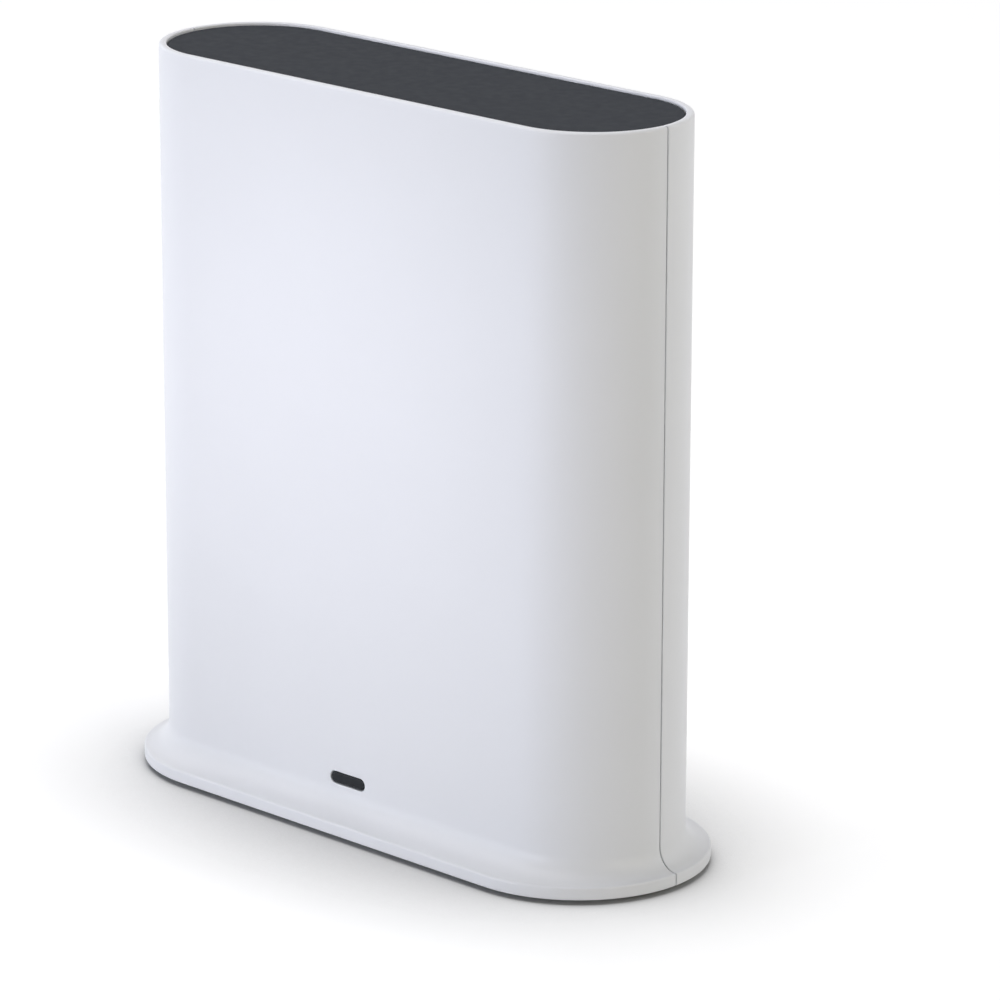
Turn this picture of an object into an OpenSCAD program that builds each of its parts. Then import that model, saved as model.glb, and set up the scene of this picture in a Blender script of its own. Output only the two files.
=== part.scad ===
// Base station for wireless security cameras: an upright hub with round ends on a flared foot.
// Front faces -Y, +Z is up, and the origin lies on the table under the middle of the foot.

/* [Housing] */
// Width of the upright body
body_w = 140.6; // [132:0.2:156]
// Depth of the upright body, front to back, which also rounds its ends
body_d = 42; // [41:0.2:46]
// Height of the whole object, from the table to the rim
body_h = 162.8; // [155:0.2:185]
// Thickness of the moulded walls
wall = 2; // [1.6:0.1:2.4]
// Plane of the seam between the two shells, measured from the middle
seam_y = 0; // [-1:0.1:1]
// Gap that shows along the seam
seam_gap = 0.3; // [0.2:0.05:0.5]
// Reach of the tongue that bridges the seam inside
tongue_reach = 3; // [2:0.25:4]
// Thickness of that tongue
tongue_t = 0.9; // [0.7:0.05:1]

/* [Foot] */
// Distance the foot stands out past the body's round ends
flare_x = 4.7; // [4.6:0.1:6]
// Distance the foot stands out in front and behind
flare_y = 7.6; // [6:0.1:9]
// Radius of the hollow curve from the body into the foot
flare_r = 4; // [3:0.1:4]
// Height of the foot's upright edge
flange_h = 2.8; // [2.4:0.1:3.2]
// Rounding of that edge
flange_edge_r = 0.5; // [0.2:0.1:0.5]
// Width of the edge below, round the base plate
flange_wall = 1.6; // [1.2:0.1:2]

/* [Top cap] */
// Width of the white rim round the cap
rim = 1.2; // [1:0.1:1.6]
// Rounding of the rim's two edges
rim_r = 0.4; // [0.2:0.05:0.45]
// Depth of the cap's face below the rim
cap_drop = 0.55; // [0.5:0.05:1.2]
// Thickness of the cap
cap_t = 2; // [1.6:0.1:2.6]
// Gap between the cap and the rim
cap_gap = 0.2; // [0.15:0.05:0.4]
// Width of the ledge that carries the cap
ledge_w = 2.2; // [1.6:0.1:3]
// Thickness of the ledge
ledge_t = 1.6; // [1.2:0.1:2.2]
// Width of each clip under the cap
clip_w = 8; // [5:0.5:12]
// Thickness of a clip's leg
clip_t = 1.4; // [1:0.1:1.8]
// Reach of a clip's hook under the ledge
clip_hook = 0.9; // [0.6:0.1:1.2]

/* [Base plate] */
// Thickness of the base plate
base_t = 1.6; // [1.4:0.1:1.8]
// Gap round the base plate
base_gap = 0.15; // [0.1:0.05:0.3]
// Radius of a rubber foot pad
pad_r = 6; // [4:0.5:7]
// Height of the pads below the foot
pad_stand = 1; // [0.6:0.1:2]
// Depth of the pads' seats in the base plate
pad_sink = 0.6; // [0.4:0.1:0.8]
// Place of the pads from the middle, along the width
pad_x = 44; // [38:1:46]
// Place of the pads from the middle, along the depth
pad_y = 18; // [17:0.5:18.5]
// Number of vent slots in each row under the foot
base_vents = 9; // [5:1:11]
// Length of a vent slot under the foot
base_vent_l = 13; // [8:0.5:14]

/* [Status light] */
// Width of the status window
window_w = 10.4; // [8:0.1:12]
// Height of the status window
window_h = 2.8; // [2.4:0.1:3.4]
// Place of the window from the middle
window_x = -1.4; // [-12:0.1:12]
// Height of the window above the table
window_z = 10.7; // [10.4:0.1:12]
// Gap round the window
window_gap = 0.2; // [0.1:0.05:0.3]

/* [Port bay] */
// Width of the bay at the rear
bay_w = 66; // [62:1:70]
// Height of the bay
bay_h = 22; // [20:1:24]
// Depth of the bay
bay_depth = 6; // [4:0.5:7]
// Corner radius of the bay
bay_r = 3; // [1:0.5:4]
// Height of the middle of the bay above the table
bay_z = 25; // [24:0.5:28]
// Thickness of the bay's walls
panel_t = 1.6; // [1.2:0.1:2]
// Gap round each port
port_gap = 0.3; // [0.2:0.05:0.4]
// Height of the ports above the board
port_h = 14.2; // [13.4:0.1:15]
// Distance of the outer ports from the middle
port_pitch = 21; // [20:0.5:23]
// Number of vent slots high on the rear
rear_vents = 13; // [7:1:15]
// Length of a rear vent slot
rear_vent_l = 15; // [8:0.5:16]

/* [Buttons] */
// Radius of the sync button
sync_r = 6; // [4.5:0.25:6.5]
// Height of the sync button above the table
sync_z = 52; // [50:0.5:54]
// Distance the sync button stands out
sync_proud = 0.6; // [0.2:0.1:1.2]
// Gap round the sync button
sync_gap = 0.35; // [0.3:0.05:0.5]
// Travel of the two switches
switch_travel = 0.4; // [0.2:0.05:0.5]
// Radius of the pinhole in front of the reset switch
pinhole_r = 0.8; // [0.6:0.1:1.2]

/* [Main board] */
// Width of the main board
board_w = 96; // [94:1:100]
// Height of the main board
board_h = 104; // [102:1:110]
// Thickness of the main board
board_t = 1.6; // [1.2:0.1:1.8]
// Height of the board's lower edge above the table
board_z = 8; // [7:0.5:9]
// Place of the board's posts from the middle
post_x = 42; // [41:0.5:43]
// Radius of the board's posts
post_r = 3; // [2.6:0.1:3.2]

/* [Cooling] */
// Side of the processor
chip_side = 17; // [14:0.5:19]
// Height of the processor's middle above the table
chip_z = 70; // [69:0.5:72]
// Height of the heat sink's fins
fin_h = 9; // [5:0.5:12]
// Number of fins
fins = 9; // [5:1:11]

/* [Radio] */
// Width of an antenna board
antenna_w = 12; // [10:0.5:14]
// Height of an antenna board
antenna_h = 38; // [30:1:40]
// Place of the antennas from the middle
antenna_x = 30; // [26:0.5:33]
// Radius of a coaxial lead
coax_r = 0.6; // [0.5:0.05:0.7]

/* [Fasteners] */
// Radius of a screw's shank
screw_r = 1.2; // [1:0.05:1.3]
// Radius of a screw's head
screw_head_r = 2.4; // [2.2:0.1:2.6]
// Height of a screw's head
screw_head_h = 1.4; // [1:0.1:1.6]
// Radial gap between a screw and its pilot hole
screw_fit = 0.05; // [0.03:0.01:0.1]

/* [Hidden] */
$fn = 72;
bleed = 1;
SHELL_WHITE = [0.93, 0.94, 0.95];
CAP_SLATE = [0.25, 0.27, 0.29];
RUBBER_GREY = [0.16, 0.16, 0.17];
STEEL = [0.72, 0.73, 0.75];
GOLD = [0.85, 0.68, 0.3];
PLASTIC_BLACK = [0.08, 0.08, 0.09];
BOARD_GREEN = [0.06, 0.3, 0.16];

// Plan of the body: straight sides joined by half circles
end_r = body_d / 2;
side_half = body_w / 2 - end_r;
inner_r = end_r - wall;

// Plan of the foot, deeper than the body's so that the hub stands firm
foot_r = end_r + flare_y;
foot_half = side_half + flare_x - flare_y;

// Levels of the foot
foot_z = pad_stand;
flange_top = foot_z + flange_h;
flare_top = flange_top + flare_r;
base_top = foot_z + base_t;
base_r = foot_r - flange_wall - base_gap;
seat_overlap = 0.2;

// Levels of the top
cap_top = body_h - cap_drop;
cap_low = cap_top - cap_t;
ledge_low = cap_low - ledge_t;
cap_r = end_r - rim - cap_gap;
cap_edge_r = 0.3;
clip_fit = 0.2;
clip_drop = 1.6;
clip_xs = [-36, -12, 12, 36];

// Rounding of the pads
pad_edge_r = 0.35;

// Tongue along the seam
tongue_fit = 0.15;
tongue_margin = 2;
tongue_low = flare_top + tongue_margin;
tongue_high = ledge_low - tongue_margin;

// Posts that take the base plate's screws, set in from the round ends
base_post_in = 12.5;
base_post_x = body_w / 2 - base_post_in;
base_post_y = 8.5;
base_post_r = 3.2;
base_post_h = 18;
base_rib_h = 9;
base_boss_r = 4.2;
base_boss_h = 1.4;
base_bore_depth = 1.8;
base_screw_l = 9;
screw_gap = 0.3;
screw_slot_w = 0.5;
rib_t = 1.6;
pilot_r = screw_r + screw_fit;
pilot_depth = 9;

// Vents
vent_w = 2;
base_vent_pitch = 6;
base_vent_y = 9;
rear_vent_pitch = 5;
rear_vent_drop = 22;
rear_vent_z = body_h - rear_vent_drop;

// Port bay and the board behind it
bay_floor = end_r - bay_depth;
panel_back = bay_floor - panel_t;
board_back = bay_floor - port_h;
board_front = board_back - board_t;
board_edge_low = 10;
board_edge_high = 5;
board_top = board_z + board_h;
post_zs = [board_z + board_edge_low, board_top - board_edge_high];
board_screw_l = 7;

// Ports, as widths along X and heights along Z
port_z = bay_z - 2;
jack_w = 15.4;
jack_h = 13;
jack_skin = 0.3;
jack_back = 1.8;
plug_w = 11.9;
plug_h = 6.8;
latch_w = 6;
latch_h = 1.6;
plug_rise = 0.8;
contact_count = 8;
contact_pitch = 1.02;
contact_t = 0.4;
contact_recess = 3;
contact_drop = 2.2;
usb_x = -port_pitch;
usb_w = 13.1;
usb_h = 5.7;
usb_skin = 0.35;
usb_corner_r = 0.5;
usb_block = 3;
usb_fit = 0.05;
tongue_w = 11;
tongue_h = 1.9;
tongue_lift = 1;
tongue_recess = 1;
usb_contact_count = 4;
usb_contact_pitch = 2.4;
usb_contact_w = 1;
usb_contact_t = 0.25;
power_x = port_pitch;
power_side = 10;
power_bore_r = 3.2;
power_back = 3.5;
power_pin_r = 1;
power_pin_recess = 1;

// Switches behind the buttons
switch_side = 6;
switch_h = 3.4;
stem_r = 1.7;
stem_gap = 0.2;
stem_out = 1;
stem_in = 1.6;
stem_rest_gap = 0.2;
stem_top = board_back + switch_h + stem_out;
stem_low = board_back + switch_h - stem_in;
reset_x = (jack_w / 2 + power_x - power_side / 2) / 2;
sync_flange = 1.4;
sync_flange_t = 1;
sync_stalk_r = 2;
sync_collar_gap = 0.4;
sync_collar_t = 1.4;
sync_collar_h = 3;
sync_edge_r = 0.6;
sync_reach = 0.05;

// Status light
window_inset = 0.1;
pipe_head_w = window_w + 1.4;
pipe_head_h = window_h + 1.4;
pipe_head_t = 4;
pipe_w = 6;
pipe_h = 2;
pipe_fit = 0.1;
pipe_gap = 0.2;
sleeve_t = 1.2;
light_w = 3.2;
light_h = 1.6;
light_t = 1.1;

// Parts on the front of the board
chip_t = 1.4;
thermal_t = 0.8;
sink_w = 44;
sink_h = 34;
sink_t = 2;
fin_t = 1.2;
fin_span = 32;
fin_pitch = fin_span / (fins - 1);
sink_front = board_front - chip_t - thermal_t - sink_t;
sink_pin_r = 1.3;
sink_pin_head_r = 2.2;
sink_pin_head_t = 1.2;
sink_pin_catch_r = 1.8;
sink_pin_catch_t = 1.4;
sink_pin_gap = 0.2;
sink_pin_in = 3.2;
sink_pin_x = sink_w / 2 - sink_pin_in;
memory_x = 31;
memory_w = 10;
memory_h = 12.5;
memory_t = 1.1;
memory_pitch = 16;
flash_x = -31;
flash_w = 8;
flash_h = 12;
crystal_drop = 15;
crystal_z = chip_z - crystal_drop;
crystal_w = 5;
crystal_h = 3.2;
transformer_rise = 21;
transformer_z = port_z + transformer_rise;
transformer_w = 16;
transformer_h = 10;
transformer_t = 5.5;
inductor_x = 28;
inductor_side = 7.4;
inductor_t = 3.4;
inductor_rises = [12, 22];
inductor_zs = [for (rise = inductor_rises) port_z + rise];
capacitor_x = 38;
capacitor_r = 3.15;
capacitor_t = 7.6;
capacitor_base = 6.6;
capacitor_base_t = 1;
capacitor_edge_r = 0.4;
shield_x = 22;
shield_drop = 15;
shield_z = board_top - shield_drop;
shield_w = 26;
shield_h = 18;
shield_t = 2.6;
shield_skin = 0.3;

// Antennas on the front wall and the leads up to them
antenna_t = 0.8;
antenna_stand = 1.5;
antenna_stand_r = 2.2;
antenna_peg_r = 0.9;
antenna_peg_gap = 0.1;
antenna_peg_out = 0.4;
antenna_peg_in = 4;
antenna_drop = 12;
antenna_top = ledge_low - antenna_drop;
antenna_low = antenna_top - antenna_h;
antenna_face = -inner_r + antenna_stand + antenna_t;
plug_r = 1.4;
plug_t = 1.9;
plug_edge = 3;
coax_plug_z = board_top - plug_edge;
coax_bend = 5;
coax_y = board_front - plug_t / 2;
coax_end_y = antenna_face + coax_r;
coax_start_z = coax_plug_z + plug_r;
coax_turn_z = board_top + coax_bend;
coax_solder_l = 8;
coax_end_z = max(coax_turn_z + coax_bend, antenna_low) + coax_solder_l;

// Carries a profile, drawn as radius and height, round a plan with straight sides of that half length
module swept(half = side_half) {
    for (side = [-1, 1]) {
        translate([side * half, 0, 0])
            rotate([0, 0, -90 * side])
                rotate_extrude(angle = 180)
                    children();
        rotate([0, 0, side > 0 ? 0 : 180])
            translate([-half, 0, 0])
                rotate([90, 0, 90])
                    linear_extrude(2 * half)
                        children();
    }
}

// Plan of the foot with ends of radius r
module capsule(r) {
    square([2 * foot_half, 2 * r], center = true);
    for (side = [-1, 1])
        translate([side * foot_half, 0])
            circle(r);
}

// What a rounding of radius r takes off an outside corner; inward points to the material
module corner_waste(corner, inward, r) {
    translate(corner)
        difference() {
            translate([min(inward.x * r, -inward.x * bleed), min(inward.y * r, -inward.y * bleed)])
                square(r + bleed);
            translate(inward * r)
                circle(r);
        }
}

// Oblong with round ends
module oblong(w, h) {
    square([w - h, h], center = true);
    for (side = [-1, 1])
        translate([side * (w - h) / 2, 0])
            circle(h / 2);
}

// Row of upright vent slots about the origin
module vent_row(count, pitch, length) {
    for (i = [0:count - 1])
        translate([(i - (count - 1) / 2) * pitch, 0])
            rotate(90)
                oblong(length, vent_w);
}

// Rectangle with rounded corners
module round_rect(w, h, r) {
    square([w - 2 * r, h], center = true);
    square([w, h - 2 * r], center = true);
    for (sx = [-1, 1], sz = [-1, 1])
        translate([sx * (w / 2 - r), sz * (h / 2 - r)])
            circle(r);
}

// Rectangle about the origin, grown all round
module block(w, h, grow = 0) {
    square([w + 2 * grow, h + 2 * grow], center = true);
}

// Extrudes a face drawn in X and Z from depth y0 back to depth y1
module along_y(y0, y1) {
    translate([0, y1, 0])
        rotate([90, 0, 0])
            linear_extrude(y1 - y0)
                children();
}

// Block on the front of the board
module on_board(x, z, w, h, t) {
    along_y(board_front - t, board_front)
        translate([x, z])
            square([w, h], center = true);
}

// Outline of the upright body as radius and height, with the hollow curve into the foot
module body_profile() {
    difference() {
        union() {
            translate([0, foot_z])
                square([end_r, body_h - foot_z]);
            translate([0, foot_z])
                square([end_r + flare_r, flare_top - foot_z]);
        }
        translate([end_r + flare_r, flare_top])
            circle(flare_r);
        corner_waste([end_r, body_h], [-1, -1], rim_r);
    }
}

// Outline of the foot's flange
module flange_profile() {
    difference() {
        translate([0, foot_z])
            square([foot_r, flange_h]);
        corner_waste([foot_r, flange_top], [-1, -1], flange_edge_r);
        corner_waste([foot_r, foot_z], [-1, 1], flange_edge_r);
    }
}

// Room inside the body: it follows the hollow curve below and ends in the cap's seat above
module body_room() {
    difference() {
        translate([0, base_top - seat_overlap])
            square([end_r + flare_r, flare_top - base_top + seat_overlap]);
        translate([end_r + flare_r, flare_top])
            circle(flare_r + wall);
    }
    translate([0, base_top])
        square([inner_r, ledge_low - base_top]);
    translate([0, ledge_low - bleed])
        square([inner_r - ledge_w, body_h - ledge_low]);
    translate([0, cap_low])
        square([end_r - rim, body_h - cap_low + bleed]);
    corner_waste([end_r - rim, body_h], [1, -1], rim_r);
}

// Seat for the base plate under the foot
module base_seat() {
    translate([0, foot_z - bleed])
        square([base_r + base_gap, base_t + bleed]);
}

// Both shells as one hollow form
module housing() {
    difference() {
        union() {
            swept()
                body_profile();
            swept(foot_half)
                flange_profile();
        }
        swept()
            body_room();
        swept(foot_half)
            base_seat();
    }
}

// Half of space in front of the seam, or behind it
module side_of_seam(front) {
    reach = body_w + flare_x;
    translate([-reach, front ? seam_y - seam_gap / 2 - reach : seam_y + seam_gap / 2, -bleed])
        cube([2 * reach, reach, body_h + 2 * bleed]);
}

// Strip inside each end wall along the seam, grown by a fit
module seam_strip(fit, y0, y1) {
    intersection() {
        swept()
            translate([inner_r - fit, tongue_low - fit])
                square([tongue_t + 2 * fit, tongue_high - tongue_low + 2 * fit]);
        translate([-body_w, y0, 0])
            cube([2 * body_w, y1 - y0, body_h]);
    }
}

// Posts for the base plate's screws on one side, each with a rib out to the round end
module base_posts(side) {
    dx = base_post_x - side_half;
    rib_l = inner_r + wall / 2 - norm([dx, base_post_y]);
    for (end = [-1, 1])
        translate([end * base_post_x, side * base_post_y, base_top + base_boss_h]) {
            cylinder(r = base_post_r, h = base_post_h);
            rotate([0, 0, atan2(side * base_post_y, end * dx)])
                translate([0, -rib_t / 2, base_post_h - base_rib_h])
                    cube([rib_l, rib_t, base_rib_h]);
        }
}

// Pilot holes in those posts
module base_pilots(side) {
    for (end = [-1, 1])
        translate([end * base_post_x, side * base_post_y, base_top + base_boss_h - bleed])
            cylinder(r = pilot_r, h = pilot_depth + bleed);
}

// Places of the antennas' pegs, as X and Z
function antenna_pegs() = [
    for (side = [-1, 1], z = [antenna_low + antenna_peg_in, antenna_top - antenna_peg_in])
        [side * antenna_x, z]
];

// Places of the board's posts, as X and Z
function board_posts() = [for (side = [-1, 1], z = post_zs) [side * post_x, z]];

// Head and shank of a screw along +Z, with its bearing face at the origin
module screw(length, r = screw_r) {
    translate([0, 0, -screw_head_h])
        difference() {
            cylinder(r = screw_head_r, h = screw_head_h);
            for (turn = [0, 90])
                rotate([0, 0, turn])
                    cube([screw_head_r, screw_slot_w, screw_head_h], center = true);
        }
    cylinder(r = r, h = length);
}

module front_shell() {
    color(SHELL_WHITE)
        difference() {
            union() {
                intersection() {
                    housing();
                    side_of_seam(true);
                }
                base_posts(-1);
                along_y(-inner_r - wall / 2, -inner_r + pipe_head_t)
                    translate([window_x, window_z])
                        block(pipe_head_w, pipe_head_h, pipe_fit + sleeve_t);
                for (p = antenna_pegs()) {
                    along_y(-inner_r - wall / 2, -inner_r + antenna_stand)
                        translate(p)
                            circle(antenna_stand_r);
                    along_y(-inner_r, antenna_face + antenna_peg_out)
                        translate(p)
                            circle(antenna_peg_r);
                }
            }
            seam_strip(tongue_fit, seam_y - tongue_reach - tongue_fit, seam_y + bleed);
            along_y(-end_r - bleed, -inner_r + bleed)
                translate([window_x, window_z])
                    oblong(window_w, window_h);
            along_y(-inner_r, -inner_r + pipe_head_t + bleed)
                translate([window_x, window_z])
                    block(pipe_head_w, pipe_head_h, pipe_fit);
            base_pilots(-1);
        }
}

module rear_shell() {
    color(SHELL_WHITE)
        difference() {
            union() {
                intersection() {
                    housing();
                    side_of_seam(false);
                }
                seam_strip(0, seam_y - tongue_reach, seam_y + seam_gap / 2 + tongue_reach);
                base_posts(1);
                along_y(panel_back, inner_r + wall / 2)
                    translate([0, bay_z])
                        round_rect(bay_w + 2 * panel_t, bay_h + 2 * panel_t, bay_r + panel_t);
                for (p = board_posts())
                    along_y(board_back, inner_r + wall / 2)
                        translate(p)
                            circle(post_r);
                along_y(inner_r - sync_collar_h, inner_r + wall / 2)
                    translate([0, sync_z])
                        circle(sync_r + sync_flange + sync_collar_gap + sync_collar_t);
            }
            along_y(bay_floor, end_r + bleed)
                translate([0, bay_z])
                    round_rect(bay_w, bay_h, bay_r);
            along_y(panel_back - bleed, bay_floor + bleed) {
                translate([0, port_z])
                    block(jack_w, jack_h, jack_skin + port_gap);
                translate([usb_x, port_z])
                    round_rect(usb_w + 2 * port_gap, usb_h + 2 * port_gap, usb_corner_r + port_gap);
                translate([power_x, port_z])
                    block(power_side, power_side, port_gap);
                translate([reset_x, port_z])
                    circle(pinhole_r);
            }
            along_y(inner_r - sync_collar_h - bleed, inner_r)
                translate([0, sync_z])
                    circle(sync_r + sync_flange + sync_collar_gap);
            along_y(inner_r - bleed, end_r + bleed)
                translate([0, sync_z])
                    circle(sync_r + sync_gap);
            along_y(inner_r - bleed, end_r + bleed)
                translate([0, rear_vent_z])
                    vent_row(rear_vents, rear_vent_pitch, rear_vent_l);
            for (p = board_posts())
                along_y(board_back - bleed, board_back + pilot_depth)
                    translate(p)
                        circle(pilot_r);
            base_pilots(1);
        }
}

module top_cap() {
    leg_y = inner_r - ledge_w - clip_fit;
    hook_top = ledge_low - clip_fit / 2;
    color(CAP_SLATE) {
        swept()
            difference() {
                translate([0, cap_low])
                    square([cap_r, cap_t]);
                corner_waste([cap_r, cap_top], [-1, -1], cap_edge_r);
            }
        for (x = clip_xs, turn = [0, 180])
            rotate([0, 0, turn])
                translate([x - clip_w / 2, 0, 0])
                    rotate([90, 0, 90])
                        linear_extrude(clip_w)
                            polygon([
                                [leg_y - clip_t, cap_low],
                                [leg_y - clip_t, hook_top - clip_drop],
                                [leg_y, hook_top - clip_drop],
                                [leg_y + clip_hook, hook_top],
                                [leg_y, hook_top],
                                [leg_y, cap_low]
                            ]);
    }
}

module base_plate() {
    color(SHELL_WHITE)
        difference() {
            union() {
                translate([0, 0, foot_z])
                    linear_extrude(base_t)
                        difference() {
                            capsule(base_r);
                            for (side = [-1, 1])
                                translate([0, side * base_vent_y])
                                    vent_row(base_vents, base_vent_pitch, base_vent_l);
                        }
                for (end = [-1, 1], side = [-1, 1])
                    translate([end * base_post_x, side * base_post_y, foot_z])
                        cylinder(r = base_boss_r, h = base_t + base_boss_h);
            }
            for (end = [-1, 1], side = [-1, 1]) {
                translate([end * base_post_x, side * base_post_y, foot_z - bleed]) {
                    cylinder(r = screw_head_r + screw_gap, h = base_bore_depth + bleed);
                    cylinder(r = screw_r + screw_gap, h = base_t + base_boss_h + 2 * bleed);
                }
                translate([end * pad_x, side * pad_y, foot_z - bleed])
                    cylinder(r = pad_r + base_gap, h = pad_sink + bleed);
            }
        }
}

module foot_pads() {
    pad_h = pad_stand + pad_sink;
    color(RUBBER_GREY)
        for (end = [-1, 1], side = [-1, 1])
            translate([end * pad_x, side * pad_y, 0])
                rotate_extrude()
                    difference() {
                        square([pad_r, pad_h]);
                        corner_waste([pad_r, 0], [-1, 1], pad_edge_r);
                    }
}

module base_screws() {
    color(STEEL)
        for (end = [-1, 1], side = [-1, 1])
            translate([end * base_post_x, side * base_post_y, foot_z + base_bore_depth])
                screw(base_screw_l);
}

module status_window() {
    color(CAP_SLATE)
        along_y(-end_r + window_inset, -inner_r)
            translate([window_x, window_z])
                oblong(window_w - 2 * window_gap, window_h - 2 * window_gap);
}

module light_pipe() {
    color([0.85, 0.88, 0.9]) {
        along_y(-inner_r, -inner_r + pipe_head_t)
            translate([window_x, window_z])
                square([pipe_head_w, pipe_head_h], center = true);
        along_y(-inner_r + pipe_head_t, board_front - light_t - pipe_gap)
            translate([window_x, window_z])
                square([pipe_w, pipe_h], center = true);
    }
}

module status_light() {
    color([0.95, 0.93, 0.8])
        on_board(window_x, window_z, light_w, light_h, light_t);
}

module main_board() {
    color(BOARD_GREEN)
        along_y(board_front, board_back)
            difference() {
                translate([-board_w / 2, board_z])
                    square([board_w, board_h]);
                for (p = board_posts())
                    translate(p)
                        circle(screw_r + screw_gap);
                for (side = [-1, 1])
                    translate([side * sink_pin_x, chip_z])
                        circle(sink_pin_r + sink_pin_gap);
            }
}

module board_screws() {
    color(STEEL)
        for (p = board_posts())
            translate([p.x, board_front, p.y])
                rotate([-90, 0, 0])
                    screw(board_t + board_screw_l);
}

module ethernet_jack() {
    color(PLASTIC_BLACK)
        difference() {
            along_y(board_back, bay_floor)
                translate([0, port_z])
                    square([jack_w, jack_h], center = true);
            along_y(board_back + jack_back, bay_floor + bleed)
                translate([0, port_z + plug_rise]) {
                    square([plug_w, plug_h], center = true);
                    translate([0, -(plug_h + latch_h) / 2])
                        square([latch_w, latch_h * 2], center = true);
                }
        }
}

module ethernet_shield() {
    color(STEEL)
        along_y(board_back, bay_floor)
            translate([0, port_z])
                difference() {
                    block(jack_w, jack_h, jack_skin);
                    block(jack_w, jack_h);
                }
}

module ethernet_contacts() {
    y0 = board_back + jack_back;
    y1 = bay_floor - contact_recess;
    z0 = port_z + plug_rise + plug_h / 2;
    color(GOLD)
        for (i = [0:contact_count - 1])
            translate([(i - (contact_count - 1) / 2) * contact_pitch - contact_t / 2, 0, 0])
                rotate([90, 0, 90])
                    linear_extrude(contact_t)
                        polygon([
                            [y0, z0 - contact_drop],
                            [y1, z0 - contact_t],
                            [y1, z0],
                            [y0, z0 - contact_drop + contact_t]
                        ]);
}

module usb_shell() {
    color(STEEL)
        along_y(board_back, bay_floor)
            translate([usb_x, port_z])
                difference() {
                    round_rect(usb_w, usb_h, usb_corner_r);
                    block(usb_w, usb_h, -usb_skin);
                }
}

module usb_tongue() {
    color(PLASTIC_BLACK) {
        along_y(board_back, board_back + usb_block)
            translate([usb_x, port_z])
                block(usb_w, usb_h, -usb_skin - usb_fit);
        along_y(board_back + usb_block, bay_floor - tongue_recess)
            translate([usb_x, port_z + tongue_lift])
                square([tongue_w, tongue_h], center = true);
    }
}

module usb_contacts() {
    color(GOLD)
        along_y(board_back + usb_block, bay_floor - 2 * tongue_recess)
            for (i = [0:usb_contact_count - 1])
                translate([
                    usb_x + (i - (usb_contact_count - 1) / 2) * usb_contact_pitch,
                    port_z + tongue_lift - (tongue_h + usb_contact_t) / 2
                ])
                    square([usb_contact_w, usb_contact_t], center = true);
}

module power_jack() {
    color(PLASTIC_BLACK)
        difference() {
            along_y(board_back, bay_floor)
                translate([power_x, port_z])
                    square(power_side, center = true);
            along_y(board_back + power_back, bay_floor + bleed)
                translate([power_x, port_z])
                    circle(power_bore_r);
        }
}

module power_pin() {
    color(STEEL)
        along_y(board_back + power_back, bay_floor - power_pin_recess)
            translate([power_x, port_z])
                circle(power_pin_r);
}

module sync_button() {
    crown = end_r + sync_proud;
    color(CAP_SLATE)
        translate([0, crown, sync_z])
            rotate([90, 0, 0])
                rotate_extrude()
                    difference() {
                        union() {
                            square([sync_r, crown - inner_r]);
                            translate([0, crown - inner_r])
                                square([sync_r + sync_flange, sync_flange_t]);
                            translate([0, crown - inner_r])
                                square([sync_stalk_r, inner_r - stem_top - sync_reach]);
                        }
                        corner_waste([sync_r, 0], [-1, 1], sync_edge_r);
                    }
}

// Body of a push switch on the rear of the board
module push_switch(x, z) {
    difference() {
        along_y(board_back, board_back + switch_h)
            translate([x, z])
                square(switch_side, center = true);
        along_y(stem_low - stem_rest_gap - switch_travel, board_back + switch_h + bleed)
            translate([x, z])
                circle(stem_r + stem_gap);
    }
}

// Stem of that switch, at rest
module push_stem(x, z) {
    along_y(stem_low, stem_top)
        translate([x, z])
            circle(stem_r);
}

module sync_switch() {
    color(STEEL)
        push_switch(0, sync_z);
}

module sync_stem() {
    color(PLASTIC_BLACK)
        push_stem(0, sync_z);
}

module reset_switch() {
    color(STEEL)
        push_switch(reset_x, port_z);
}

module reset_stem() {
    color(PLASTIC_BLACK)
        push_stem(reset_x, port_z);
}

module processor() {
    color(PLASTIC_BLACK)
        on_board(0, chip_z, chip_side, chip_side, chip_t);
}

module thermal_pad() {
    color([0.55, 0.6, 0.72])
        along_y(board_front - chip_t - thermal_t, board_front - chip_t)
            translate([0, chip_z])
                square(chip_side, center = true);
}

module heat_sink() {
    color(STEEL) {
        along_y(sink_front, sink_front + sink_t)
            difference() {
                translate([0, chip_z])
                    square([sink_w, sink_h], center = true);
                for (side = [-1, 1])
                    translate([side * sink_pin_x, chip_z])
                        circle(sink_pin_r + sink_pin_gap);
            }
        along_y(sink_front - fin_h, sink_front)
            for (i = [0:fins - 1])
                translate([(i - (fins - 1) / 2) * fin_pitch, chip_z])
                    square([fin_t, sink_h], center = true);
    }
}

module sink_pins() {
    color(SHELL_WHITE)
        for (side = [-1, 1])
            translate([side * sink_pin_x, 0, chip_z])
                rotate([-90, 0, 0])
                    rotate_extrude() {
                        translate([0, sink_front - sink_pin_head_t])
                            square([sink_pin_head_r, sink_pin_head_t]);
                        translate([0, sink_front])
                            square([sink_pin_r, board_back - sink_front]);
                        translate([0, board_back])
                            square([sink_pin_catch_r, sink_pin_catch_t]);
                    }
}

module memory_chips() {
    color(PLASTIC_BLACK)
        for (side = [-1, 1])
            on_board(memory_x, chip_z + side * memory_pitch / 2, memory_w, memory_h, memory_t);
}

module flash_chip() {
    color(PLASTIC_BLACK)
        on_board(flash_x, chip_z, flash_w, flash_h, memory_t);
}

module crystal() {
    color(STEEL)
        on_board(flash_x, crystal_z, crystal_w, crystal_h, memory_t);
}

module network_transformer() {
    color(PLASTIC_BLACK)
        on_board(0, transformer_z, transformer_w, transformer_h, transformer_t);
}

module power_inductors() {
    color([0.3, 0.3, 0.32])
        for (z = inductor_zs)
            on_board(inductor_x, z, inductor_side, inductor_side, inductor_t);
}

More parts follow.
